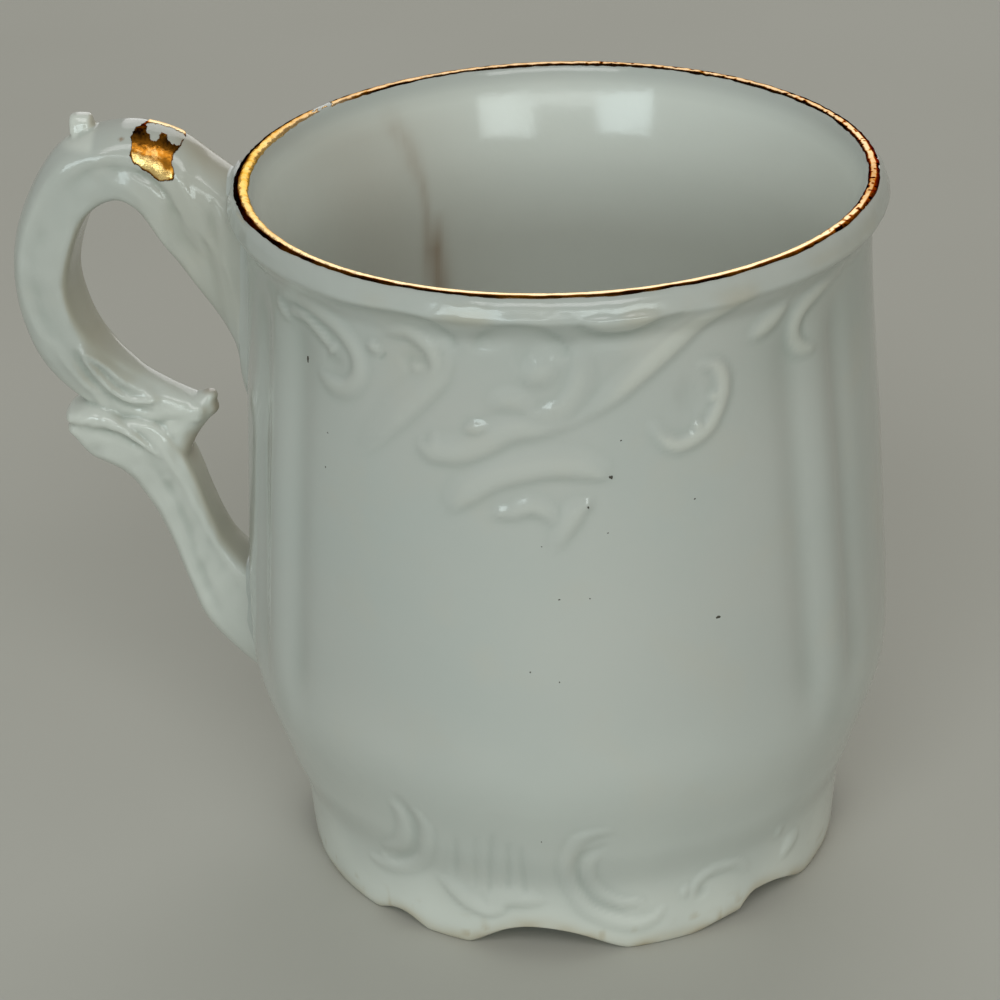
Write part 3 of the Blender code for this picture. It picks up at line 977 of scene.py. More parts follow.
    def points(self) -> tuple[np.ndarray, np.ndarray, np.ndarray, np.ndarray]:
        """Grid of the body's points.

        Returns:
            Angle, radius and height of each row and column, and the side of each row.
        """
        section, sides = self.half_section()
        angle, radius = np.meshgrid(all_round(self.columns), section[:, 0])
        height = np.repeat(section[:, 1:], self.columns, 1)
        is_inside, is_outside = ((sides == side.value)[:, None] for side in (Side.INSIDE, Side.OUTSIDE))
        is_wall, is_lip = is_outside & (radius == 0), is_outside & (radius != 0)
        is_foot = (height < self.underside_height) & ~is_inside & (is_wall | (radius > self.ring_inside))
        fade = np.clip(1 - height / self.underside_height, 0, 1)
        height = height + np.where(is_foot, self.arch_lift(angle) * fade, 0)
        radius = np.where(is_wall, self.wall_radius(angle, height), radius)
        pits = sum(deep * ragged(angle / wide, height / tall, seed) for deep, wide, tall, seed in self.pits)
        radius = radius + np.where(is_lip, self.ornament(angle, height) + pits, 0)
        return angle, radius, height, sides

    def crevice(self, relief: np.ndarray) -> np.ndarray:
        """Where glaze pools: how far the relief lies under its own average over a small window.

        Args:
            relief: Relief of the grid in mm.

        Returns:
            Share from 0 to 1.
        """
        spread = rolled_mean(rolled_mean(relief, self.pool_reach, 0), self.pool_reach, 1)
        return np.clip((spread - relief) * self.pooling, 0, 1)

    def stain(self, angle: np.ndarray, height: np.ndarray) -> np.ndarray:
        """Tea mark down the inside: a bell about a drawn line, wider and darker towards its lower end, with painted
        shade in the tea's colour over the bowl's left and right.

        Args:
            angle: Angles in degrees.
            height: Heights in mm.

        Returns:
            Share from 0 to 1.
        """
        path = np.array(self.stain_path, float)[::-1]
        middle = np.interp(height, path[:, 1], path[:, 0])
        drift = 0.5 * ragged(height * 0.7, height * 0.0, 3)
        blob = band(height, *self.stain_blob)
        faint = smooth_step(54, 59, height)
        core = bell(angle - drift, middle, 1.0 + 1.4 * blob + 1.4 * faint) * (0.34 + 0.4 * blob - 0.12 * faint)
        # Painted shade in the tea's colour: a broad cloud beside the mark and a faint one on the bowl's right
        cloud = bell(angle, middle + 14, 22.0) * 0.22 + bell(angle, 95, 40) * 0.08
        return (core * (0.75 + 0.25 * ragged(height * 1.3, angle, 5)) + cloud) * band(height, *self.stain_ends)

    def thick_glaze_and_painted_light(self, angle: np.ndarray, height: np.ndarray, is_inside: np.ndarray) -> np.ndarray:
        """Share of the whiter tone: painted light over the bowl and in the panels' middles; down the foot, glaze that
        ran thick and painted light.

        Args:
            angle: Angles in degrees.
            height: Heights in mm.
            is_inside: Which rows are in the bowl.

        Returns:
            Share from 0 to 1.
        """
        # Down the foot: glaze that ran thick, made whiter still as painted light
        run = 0.3 * smooth_step(30, 14, height) + 0.6 * smooth_step(9, 2, height)
        run = run * (1 + 0.25 * ragged(angle / 9, height / 6, 15))
        # Painted light: the middle of each panel, front and back, lighter
        run = run + 0.17 * bell(folded(angle), 4, 21) * bell(height, 32, 17)
        # Painted light: the bowl lighter all over
        return np.where(is_inside, 0.92 * smooth_step(64.6, 62.5, height), run)

    def grime(self, angle: np.ndarray, height: np.ndarray) -> np.ndarray:
        """Yellowed edges: strongest at the foot's lowest edge, patchy round the cup, with a trace on the lip.

        Args:
            angle: Angles in degrees.
            height: Heights in mm.

        Returns:
            Share from 0 to 1.
        """
        patch = 0.5 + 0.5 * ragged(angle / 4, height / 1.5, 11)
        edge = bell(height - self.arch_lift(angle), 0.2, 0.9)
        drops = smooth_step(0.55, 0.9, ragged(angle / 2.2, height / 1.1, 12)) * smooth_step(4.0, 1.5, height)
        lip = bell(height, 63.2, 0.9) * smooth_step(0.1, 0.8, ragged(angle / 9, height / 5, 13)) * 0.3
        return np.clip(edge * (0.2 + 0.6 * patch) + 0.35 * drops + lip, 0, 0.8)

    def worn_and_lit_crests(self, angle: np.ndarray, height: np.ndarray, ornament: np.ndarray) -> np.ndarray:
        """Paler, creamy crests of the upper relief, more to the right of each panel: worn glaze and painted highlight.

        Args:
            angle: Angles in degrees.
            height: Heights in mm.
            ornament: Relief in mm.

        Returns:
            Share from 0 to 1.
        """
        # Worn glaze and painted highlight: crests paler, most towards the right where the light catches them
        crest = smooth_step(0.13, 0.25, ornament) * smooth_step(30, 42, height)
        return crest * (0.3 + 0.7 * smooth_step(6, 24, folded(angle)))

    def build(self, glaze: bpy.types.Material) -> bpy.types.Object:
        """Make the body's piece.

        Args:
            glaze: Finish of the porcelain.

        Returns:
            The body.
        """
        angle, radius, height, sides = self.points()
        poles = np.array([(0, 0, self.underside_height), (0, 0, self.floor_height)], float)
        mesh = make_mesh("cup_porcelain", *tube(round_axis(angle, radius, height), poles))
        is_inside, is_outside = ((sides == side.value)[:, None] for side in (Side.INSIDE, Side.OUTSIDE))
        ornament = self.ornament(angle, height)
        relief = np.where(is_outside, ornament + self.rib_relief(angle, height), 0)
        crests = self.worn_and_lit_crests(angle, height, ornament) * is_outside
        # Painted shade under the lip at the sides, in the green of glaze that pools
        neck = 0.3 * bell(height, 57, 5.5) * smooth_step(28, 48, np.abs(folded(angle)))
        grime = np.where(is_inside, 0, self.grime(angle, height) + 0.08 * crests)
        for name, values in (
            # thick carries painted light besides thick glaze; crevice carries the painted shade under the lip besides
            # glaze that pools
            ("thick", np.clip(self.thick_glaze_and_painted_light(angle, height, is_inside) + 0.4 * crests, 0, 1)),
            ("crevice", np.clip(self.crevice(relief) + neck, 0, 1) * is_outside),
            ("grime", grime),
            ("stain", self.stain(angle, height) * is_inside),
        ):
            add_attribute(mesh, name, np.concatenate([values.ravel(), (0, 0)]))
        return add_piece("cup_porcelain", mesh, glaze, ("cup_body",))


# Handle


@dataclass(frozen=True)
class Carving:
    """A line worked into a strand's flanks: a ridge, or a groove where its height is negative.

    Attributes:
        line: (place along the strand, share across it) of points along the line; 1 is the outer edge, -1 the inner.
        height: How far it stands out, in mm.
        width: Half width, as a share across the strand.
        fade: Stations over which each end of the line runs out.
        is_step: Whether the whole inner side of the line is raised or lowered.
    """

    line: tuple[Point2, ...]
    height: float
    width: float
    fade: float = 0.25
    is_step: bool = False


# First angle, last angle and number of the rings that close a strand's end in a dome
DOME_ARC = (8, 88, 11)


@dataclass(frozen=True)
class Strand:
    """One strand of the handle: a rounded section carried between two edge lines.

    Attributes:
        stations: ((distance from the axis, height) of the outer edge, the same of the inner edge, half thickness).
        carvings: Lines worked into both flanks.
        outer_power: (place, squareness) of the section's outer half along the strand; 2 is an ellipse.
        inner_power: The same of its inner half.
        unevenness: How far the flanks waver, in mm.
        round_start: Whether a dome closes the start.
        round_end: Whether a dome closes the end.
    """

    stations: tuple[tuple[Point2, Point2, float], ...]
    carvings: tuple[Carving, ...] = ()
    outer_power: tuple[Point2, ...] = ((0, 2.8),)
    inner_power: tuple[Point2, ...] = ((0, 6.5),)
    unevenness: float = 0.12
    round_start: bool = False
    round_end: bool = False

    @property
    def knots(self) -> np.ndarray:
        """Stations as rows of five numbers."""
        return np.array([(*outer, *inner, half) for outer, inner, half in self.stations], float)

    def carved(self, place: np.ndarray, across: np.ndarray) -> np.ndarray:
        """Hand-made unevenness and carvings: bells or eased steps across their lines, faded out at the ends.

        Args:
            place: Places along the strand, counted in stations.
            across: Shares across it.

        Returns:
            Heights in mm.
        """
        total = self.unevenness * ragged(place * 3, across * 2.2, 71)
        for carving in self.carvings:
            line = np.array(carving.line, float)
            middle = np.interp(place, line[:, 0], line[:, 1])
            start, end, fade = line[0, 0], line[-1, 0], carving.fade
            share = band(place, (start - fade, start + fade), (end + fade, end - fade))
            if carving.is_step:
                share = share * smooth_step(carving.width, -carving.width, across - middle)
            else:
                share = share * bell(across, middle, carving.width)
            total = total + carving.height * share
        return total

    def point(self, place: np.ndarray, turn: np.ndarray, dome: np.ndarray | float = 0.0) -> np.ndarray:
        """Points of the strand: a superellipse between its edge lines, with the carvings on its flanks.

        Args:
            place: Places along the strand, counted in stations.
            turn: Angles round the section in radians, 0 at the outer edge and a quarter turn towards +Y.
            dome: Angle in radians past the strand's end; rings shrink by its cosine and move on by its sine.

        Returns:
            Points in mm from the axis.
        """
        place, turn, dome = np.broadcast_arrays(place, turn, dome)
        row = spline(self.knots, place)
        ahead = spline(self.knots, place + 0.02) - spline(self.knots, place - 0.02)
        outer, inner = row[..., 0:2], row[..., 2:4]
        half = (outer - inner) / 2
        along = ahead[..., 0:2] + ahead[..., 2:4]
        along = unit(along)
        width = np.linalg.norm(half, axis=-1)
        cosine, sine = np.cos(turn), np.sin(turn)
        inner_power, outer_power = (np.interp(place, *zip(*knots)) for knots in (self.inner_power, self.outer_power))
        power = np.where(cosine < 0, inner_power, outer_power)
        across = np.sign(cosine) * np.abs(cosine) ** (2 / power)
        through = np.sign(sine) * np.abs(sine) ** (2 / power)
        shrink = np.cos(dome)
        middle = (outer + inner) / 2 + along * (np.sin(dome) * width)[..., None]
        place_2d = middle + half * (across * shrink)[..., None]
        flank = smooth_step(0.3, 0.95, np.abs(through)) * np.sign(through)
        thick = (row[..., 4] * through + flank * self.carved(place, across)) * shrink
        return np.stack([-place_2d[..., 0], thick, place_2d[..., 1]], -1)

    def rings(self, per_span: int, size: int) -> np.ndarray:
        """Rings of points along the strand, with its domes.

        Args:
            per_span: Rings from one station to the next.
            size: Points in a ring.

        Returns:
            Array of rings, points and coordinates.
        """
        last = len(self.stations) - 1
        place = np.linspace(0, last, last * per_span + 1)
        dome = np.zeros_like(place)
        arc = np.radians(np.linspace(*DOME_ARC))
        if self.round_end:
            place, dome = np.append(place, np.full_like(arc, last)), np.append(dome, arc)
        if self.round_start:
            place, dome = np.append(np.zeros_like(arc), place), np.append(-arc[::-1], dome)
        return self.point(place[:, None], full_turn(size)[None], dome[:, None])


# Upper C-scroll: from its root on the wall over the arch, down the outside and back in a pointed tail
SCROLL = Strand(
    stations=(
        ((26.6, 62.9), (28.4, 43.7), 4.2), ((30.1, 65.6), (29.05, 49.1), 3.9), ((33.6, 68.2), (33.76, 57.0), 3.5),
        ((38.4, 68.9), (37.3, 62.2), 3.4), ((43.8, 66.8), (40.75, 61.45), 3.5), ((47.5, 60.8), (42.8, 57.55), 3.7),
        ((48.65, 54.5), (43.4, 53.4), 3.7), ((47.34, 47.6), (41.75, 48.9), 3.4), ((43.58, 42.7), (38.4, 45.7), 2.5),
        ((38.12, 40.35), (35.2, 43.75), 2.1), ((33.83, 40.2), (32.9, 42.7), 1.8),
    ),
    carvings=(
        # Broad channel along the flank, between a rail along the outer edge and one along the inner
        Carving(((4.4, 0.05), (5.4, 0.1), (6.3, 0), (6.8, -0.2)), -0.22, 0.3, 0.4),
        Carving(((3.6, 0.64), (5.36, 0.63), (5.84, 0.6), (6.28, 0.48), (6.66, 0.3), (6.95, 0.1)), 0.15, 0.17),
        Carving(((6.9, 0.02), (7.2, 0.06), (7.56, 0.18), (7.94, 0.33), (8.12, 0.49), (8.33, 0.69), (8.7, 0.8)),
                0.3, 0.14),
        Carving(((7, -0.45), (7.32, -0.27), (7.62, -0.07), (7.84, 0.03), (8.09, 0.1), (8.33, 0.22), (8.6, 0.25),
                 (8.9, 0.1)), -0.3, 0.14),
        # Leaf in the channel's lower end: two ridges that run together in a bulb
        Carving(((7.06, -0.61), (7.34, -0.44), (7.59, -0.3), (7.8, -0.22), (8.05, -0.11), (8.29, -0.04), (8.48, -0.05),
                 (8.65, -0.24), (8.88, -0.42)), 0.36, 0.12, 0.15),
        Carving(((7.03, -0.65), (7.19, -0.71), (7.56, -0.7), (8.05, -0.6), (8.45, -0.6), (8.8, -0.54)),
                0.34, 0.11, 0.15),
        Carving(((7.27, -0.6), (7.49, -0.55), (7.71, -0.45), (7.93, -0.36), (8.26, -0.31)), -0.2, 0.1, 0.12),
        Carving(((8.5, -0.32), (8.8, -0.42)), 0.3, 0.22, 0.15),
        Carving(((7.29, -0.9), (7.78, -0.86), (8.46, -0.89), (8.84, -0.9)), -0.25, 0.09),
        # Tongue along the inner edge of the arch, set off from the roll above it
        Carving(((1.98, 0.13), (2.15, 0.14), (2.34, 0.18), (2.7, 0.12)), -0.5, 0.1, 0.25),
        Carving(((2.7, 0.12), (3, 0.06), (3.4, 0.1), (3.9, 0.03)), -0.2, 0.12, 0.4),
        Carving(((2.2, -0.3), (3.2, -0.34)), 0.16, 0.27, 0.3),
        # Recessed face from the tongue's tip down to the wall, the ridge across the root and the hollow beside it
        Carving(((1.1, 0.02), (1.31, 0.02), (1.55, -0.09), (1.67, -0.1), (1.78, 0), (1.89, 0.05), (2.02, 0.13)),
                -0.55, 0.1, 0.2, True),
        Carving(((1.5, 0.35), (1.7, 0.38)), 0.14, 0.3, 0.22),
        Carving(((1.48, 0.43), (1.56, 0.5), (1.65, 0.55), (1.8, 0.54)), 0.18, 0.1, 0.12),
        Carving(((0.95, 0.34), (1.12, 0.28)), -0.35, 0.28, 0.2),
        Carving(((1.03, 0.6), (1.12, 0.6)), 0.2, 0.1, 0.1),
        Carving(((0.45, 0.05), (0.8, 0.09)), 0.26, 0.08, 0.12),
    ),
    outer_power=((0, 2.8), (1.2, 2.8), (2, 2.4), (4.2, 2.4), (5, 2.8)),
    inner_power=((0, 2.8), (0.9, 3.2), (1.9, 6.5), (5, 6.5), (6.5, 5), (7.2, 4), (8.2, 2.3), (10, 2.2)),
    round_end=True,
)

# Stem: from the knee under the scroll down to the wall
STEM = Strand(
    stations=(
        ((44.8, 39.2), (43.6, 40.8), 2.4), ((43.2, 37.0), (40.3, 41.4), 2.7), ((40.3, 35.3), (36.5, 40.5), 2.7),
        ((38.2, 32.2), (34.1, 36.8), 2.45), ((36.5, 28.2), (32.6, 32.2), 2.45), ((35.25, 24.2), (31.25, 28.8), 2.65),
        ((33.3, 19.6), (29.3, 26.3), 3.1), ((27.2, 13.4), (27.16, 24.6), 3.7),
    ),
    carvings=(
        Carving(((2.5, -0.1), (3.3, -0.05), (3.9, 0.02), (4.9, 0.18), (5.9, 0.28)), -0.27, 0.24),
        Carving(((1.2, 0.6), (6.2, 0.66)), 0.18, 0.18),
        Carving(((2.2, -0.6), (3, -0.53), (3.4, -0.59), (4, -0.66), (5, -0.76), (6, -0.78)), 0.22, 0.14),
        Carving(((0.9, -0.46), (1.25, -0.51), (1.57, -0.42), (1.94, -0.31)), -0.34, 0.16),
    ),
    round_start=True,
)

# Roll that lies between the scroll and the stem's knee
COLLAR = Strand(
    stations=(
        ((44.75, 40.3), (44.15, 42.1), 2.6), ((43.1, 39.9), (42.8, 42.6), 3.0), ((41.3, 39.9), (41.4, 42.5), 3.2),
        ((39.3, 39.2), (40.0, 41.6), 3.2), ((37.4, 37.8), (38.4, 40.2), 3.1), ((36.2, 36.7), (36.9, 38.6), 2.7),
    ),
    outer_power=((0, 2.2),),
    inner_power=((0, 2.2),),
    round_start=True,
    round_end=True,
)

# Neck that joins the scroll's tail to the stem
NECK = Strand(
    stations=(
        ((32.6, 43.1), (31.55, 42.3), 0.9), ((34.2, 42.7), (31.35, 41.35), 1.3), ((36.0, 41.8), (32.45, 40.2), 1.8),
        ((37.6, 40.0), (33.65, 38.5), 2.2), ((38.2, 37.2), (34.2, 36.9), 2.35), ((37.6, 34.8), (33.85, 35.2), 2.3),
    ),
    outer_power=((0, 2.0), (3, 3.0)),
    inner_power=((0, 2.0), (1, 1.7), (2.6, 1.6), (3.6, 2.4), (4.6, 4.0)),
    round_start=True,
)

# Nub for the thumb on top of the arch
THUMB_NUB = Strand(
    stations=(
        ((42.4, 66.2), (40.3, 66.6), 1.7), ((42.45, 67.6), (40.45, 67.7), 1.35), ((42.6, 68.5), (40.42, 68.5), 1.1),
        ((42.55, 69.3), (40.5, 69.3), 0.8), ((42.35, 69.68), (40.7, 69.68), 0.5),
    ),
    outer_power=((0, 3.2),),
    inner_power=((0, 3.2),),
)


@dataclass
class ScrollHandle:
    """The cast handle: strands modelled one by one and fused into one body, as glaze softens them together.

    A darkened spot is (distance from the axis, height, reach, strength): painted shade in the tea's colour round the
    tail's tip and where it meets the stem, and a stain at the root's end. The pinhole is (place along the scroll, angle
    round its section).
    """

    strands: tuple[Strand, ...] = (SCROLL, STEM, COLLAR, NECK, THUMB_NUB)
    rings_per_span: int = 26
    ring_size: int = 144
    voxel_mm: float = 0.19
    smoothing: int = 4
    pool_steps: int = 16
    pool_depth: float = 0.24
    # Painted shade round the tail's tip and where it meets the stem, then a stain at the root's end
    shade_and_stain_spots: tuple[tuple[float, float, float, float], ...] = (
        (32.1, 43.2, 0.9, 0.4), (31.4, 41.6, 1.5, 0.4), (33.6, 38.0, 2.6, 0.34), (28.6, 44.2, 1.6, 0.6),
    )
    pinhole: Point2 = (2.85, -41.0)

    def build(self, glaze: bpy.types.Material) -> bpy.types.Object:
        """Make the handle's piece.

        Args:
            glaze: Finish of the porcelain.

        Returns:
            The handle.
        """
        tubes, count = [], 0
        for strand in self.strands:
            rings = strand.rings(self.rings_per_span, self.ring_size)
            tubes.append(tube(rings, rings[[0, -1]].mean(1), count))
            count += len(tubes[-1][0])
        draft = make_mesh("handle_draft", *(np.concatenate(part) for part in zip(*tubes)))
        mesh = self.fused(draft)
        self.mark(mesh)
        return add_piece("handle_porcelain", mesh, glaze, ("handle",))

    def mark(self, mesh: bpy.types.Mesh) -> None:
        """Store where glaze pools, from how far each point lies under a smoothed copy; a whiter tone that is painted
        light on the handle's lower part and the thumb rest and, on crests, thin glaze and painted highlight at once;
        the grime's colour, painted shade on the faces turned to the wall and darker near the upper root; and the tea's
        colour, a stain in the pinhole and painted shade round the tail's tip.

        Args:
            mesh: The handle's mesh.
        """
        count, edge_count = len(mesh.vertices), len(mesh.edges)
        flat, normal, edges = np.empty(count * 3), np.empty(count * 3), np.empty(edge_count * 2, np.int32)
        mesh.vertices.foreach_get("co", flat)
        mesh.vertices.foreach_get("normal", normal)
        mesh.edges.foreach_get("vertices", edges)
        points, normal = flat.reshape(-1, 3) / MM, normal.reshape(-1, 3)
        out, height = AXIS_X - points[:, 0], points[:, 2]
        first, second = edges.reshape(-1, 2).T
        tally = np.bincount(edges, minlength=count)[:, None]
        spread = points
        for _ in range(self.pool_steps):
            near = [
                np.bincount(first, spread[second, k], count) + np.bincount(second, spread[first, k], count)
                for k in range(3)
            ]
            spread = np.stack(near, -1) / tally
        depth = ((spread - points) * normal).sum(-1) / self.pool_depth
        cloud = ragged(points[:, 0] / 5 + points[:, 1] / 3, height / 5, 61)
        # Painted light: the handle's lower part whiter, most about the tail
        low = 0.34 * smooth_step(48, 40, height) + 0.25 * bell(height, 42, 3.5)
        # Thin glaze and painted highlight: the crests whiter
        crest = 0.26 * np.clip(-depth, 0, 1)
        # Painted highlight: the thumb rest's top whiter
        nub_highlight = 0.7 * smooth_step(66.8, 67.6, height) * smooth_step(39.8, 40.5, out)
        # Darker and yellower near the upper root
        root = 0.14 * smooth_step(38, 32, out) * smooth_step(48, 54, height)
        place, turn = (np.array(value) for value in self.pinhole)
        pinhole = SCROLL.point(place, np.radians(turn)) + (AXIS_X, 0, 0)
        stain = 0.7 * smooth_step(0.28, 0.1, np.linalg.norm(points - pinhole, axis=-1))
        # Spots in the tea's colour: painted shade round the tail's tip and where it meets the stem, a stain at the
        # root's end
        for distance, rise, reach, strength in self.shade_and_stain_spots:
            gap = np.linalg.norm(points - (AXIS_X - distance, 0, rise), axis=-1)
            stain = np.maximum(stain, strength * smooth_step(reach, 0.3, gap))
        for name, values in (
            ("crevice", np.clip(depth, 0, 1)),
            ("thick", np.clip(0.04 + 0.1 * cloud + low + crest + nub_highlight, 0, 1)),
            # Painted shade: the faces turned to the wall darker, in the grime's colour
            ("grime", 0.05 + root + 0.4 * smooth_step(0.35, 0.9, normal[:, 0])),
            ("stain", stain),
        ):
            add_attribute(mesh, name, values)

    def fused(self, draft: bpy.types.Mesh) -> bpy.types.Mesh:
        """Union of the strands by a voxel remesh, then smoothed.

        Args:
            draft: Overlapping closed strands.

        Returns:
            One closed mesh.
        """
        shape = add_object("handle_draft", draft)
        remesh = shape.modifiers.new("fuse", "REMESH")
        remesh.mode = "VOXEL"
        remesh.voxel_size = self.voxel_mm * MM
        soften = shape.modifiers.new("soften", "SMOOTH")
        soften.factor = 0.5
        soften.iterations = self.smoothing
        mesh = bpy.data.meshes.new_from_object(shape.evaluated_get(bpy.context.evaluated_depsgraph_get()))
        bpy.data.objects.remove(shape)
        bpy.data.meshes.remove(draft)
        mesh.name = "handle_porcelain"
        mesh.shade_smooth()
        return mesh


@dataclass
class LutingSlip:
    """Slip that joins one end of the handle to the wall: a hollow fillet run round the joint."""

    name: str
    node: str
    strand: Strand
    near: float
    far: float
    width: float = 0.9
    sink: float = 0.06
    pull: float = 0.12
    bury: float = 0.5
    turns: int = 180
    search_steps: int = 400
    softness: int = 3
    curve_rows: int = 9

    def joint(self, body: CupBody) -> np.ndarray:
        """Where the strand meets the wall: the first place, from the end inside the wall, that is outside it.

        Args:
            body: Body that the strand joins.

        Returns:
            Places along the strand, one for each angle round its section.
        """
        turn = full_turn(self.turns)
        places = np.linspace(self.near, self.far, self.search_steps)
        points = self.strand.point(places[:, None], turn[None])
        wall = body.wall_radius(angle_at(points), points[..., 2])
        clear = np.hypot(points[..., 0], points[..., 1]) - wall
        after = np.argmax(clear > 0, 0).clip(1)
        columns = np.arange(self.turns)
        low, high = clear[after - 1, columns], clear[after, columns]
        return places[after - 1] + (places[1] - places[0]) * np.clip(low / (low - high), 0, 1)

    def build(self, body: CupBody, glaze: bpy.types.Material) -> bpy.types.Object:
        """Make the fillet: a quadratic curve from the wall to the handle, pulled towards the corner between them.

        Args:
            body: Body that the strand joins.
            glaze: Finish of the porcelain.

        Returns:
            The slip.
        """
        turn = full_turn(self.turns)
        place = rolled_mean(self.joint(body), self.softness, 0)
        corner = self.strand.point(place, turn)
        step = 0.05 * math.copysign(1, self.far - self.near)
        outward = unit(self.strand.point(place + step, turn) - corner)
        on_handle = corner + outward * self.width
        course = np.roll(corner, -1, 0) - np.roll(corner, 1, 0)
        normal = unit(corner * (1, 1, 0))
        sideways = unit(np.cross(course, normal))
        sideways *= np.sign(np.einsum("ij,ij->i", sideways, corner - corner.mean(0)))[:, None]
        on_wall = corner + sideways * self.width
        on_wall = body.on_wall(angle_at(on_wall), on_wall[:, 2]) - normal * self.sink
        t = np.linspace(0, 1, self.curve_rows)[:, None, None]
        lifted = corner + (outward + sideways) * self.width * self.pull
        curve = (1 - t) ** 2 * on_wall + 2 * t * (1 - t) * lifted + t * t * (on_handle - sideways * self.sink)
        root = corner - (sideways + normal) * self.width * self.bury
        rings = np.concatenate([curve, root[None]]).transpose(1, 0, 2)
        count, size = rings.shape[:2]
        quads = grid_quads(count + 1, size, is_ring=True) % (count * size)
        mesh = make_mesh(self.name, rings.reshape(-1, 3), quads)
        return add_piece(self.name, mesh, glaze, (self.node,))


# Gold


@dataclass
class RimGold:
    """Gold line brushed round the lip, uneven in width and worn through in places."""

    columns: int = 1500
    rows: int = 15
    inner: float = 0.792
    outer: float = 0.616
    middle: float = 27.3
    broad_angle: float = -88.0
    broad_width: float = 32.0
    lift: float = 0.035
    thickness: float = 0.05
    worn_angle: float = -122.8
    worn_width: float = 3.2
    wear_limit: float = 1.45
    worn_share: float = 1.7

    def build(self, body: CupBody, gold: bpy.types.Material) -> bpy.types.Object:
        """Make the gold line: the lip's own curve between two wavering edges, lifted off the glaze.

        Args:
            body: Body whose lip it covers.
            gold: Finish of the metal.

        Returns:
            The gold line.
        """
        angle, share = np.meshgrid(all_round(self.columns), np.linspace(0, 1, self.rows))
        broad = bell(angle, self.broad_angle, self.broad_width)
        outer = self.outer - 0.04 * broad
        outer = outer + 0.011 * ragged(angle / 5, angle * 0, 21) + 0.006 * ragged(angle / 1.3, angle * 0, 22)
        inner = self.inner + 0.055 * broad + 0.016 * self.far_side(angle)
        inner = inner + 0.012 * ragged(angle / 6, angle * 0, 23) + 0.01 * ragged(angle / 1.1, angle * 0, 24)
        place = outer + (inner - outer) * share
        spot = body.lip_curve(place)
        along = unit(body.lip_curve(place + 0.01) - body.lip_curve(place - 0.01))
        beaded = 0.35 + 0.65 * smooth_step(40, 75, np.abs(angle))
        dents = 0.03 * beaded * ragged(angle * 0.9, share * 3, 25)
        lift = (self.lift + dents)[..., None] * np.stack([along[..., 1], -along[..., 0]], -1)
        radius, height = np.moveaxis(spot + lift, -1, 0)
        points = round_axis(angle, radius, height)
        wear = ragged(angle / 1.6, share * 3, 26) + 0.5 * ragged(angle * 1.4, share * 7, 27)
        worn = bell((angle - self.worn_angle + 180) % 360 - 180, 0, self.worn_width)
        keep = wear < self.wear_limit - self.worn_share * worn
        marks = self.marks(angle, radius - self.middle)
        mesh = film_mesh("rim_gold", points, keep, is_ring=True, marks=marks)
        return thicken(add_piece("rim_gold", mesh, gold, ("rim_gilding",)), self.thickness)

    def far_side(self, angle: np.ndarray) -> np.ndarray:
        """Share from 0 to 1 that is 1 along the back and the right, where the line's inner edge is burnt."""
        return smooth_step(50, 75, angle) + smooth_step(-125, -140, angle)

    def marks(self, angle: np.ndarray, outside: np.ndarray) -> dict[str, np.ndarray]:
        """Dark edges, burnt gold that also paints the dark reflection along them, dark beads along the sides, and the
        pale stretches, a painted highlight.

        Args:
            angle: Angles in degrees.
            outside: How far each point lies outside the line's middle radius, in mm.

        Returns:
            Shares from 0 to 1, by the names that the gold reads.
        """
        broad = bell(angle, self.broad_angle, self.broad_width)
        # Dark edges: partly burnt gold, partly painted dark reflection
        waver = outside + 0.05 * ragged(angle / 2.2, angle * 0, 31)
        edges = np.maximum(
            smooth_step(0.08, 0.2, waver - 0.06 * broad), smooth_step(-0.28, -0.4, waver) * self.far_side(angle)
        )
        sides = 0.8 * smooth_step(40, 75, angle) + 0.15 * smooth_step(-40, -75, angle)
        beads = smooth_step(0.35, 0.8, ragged(angle / 0.7, outside * 3, 33)) * sides
        patch = 0.5 + 0.5 * ragged(angle / 3, outside * 2, 32)
        dull = 0.3 * bell(angle, 86, 13) + 0.16 * smooth_step(96, 125, np.abs(angle)) + 0.04 * broad
        edges = edges * (1 - 0.5 * bell(angle, 86, 26))
        burnt = np.clip(edges * (0.8 + 0.3 * patch) + beads + dull, 0, 1)
        # The pale share is a painted highlight wherever the line is not broad
        return {"burnt": burnt, "pale": 0.85 * (1 - broad)}


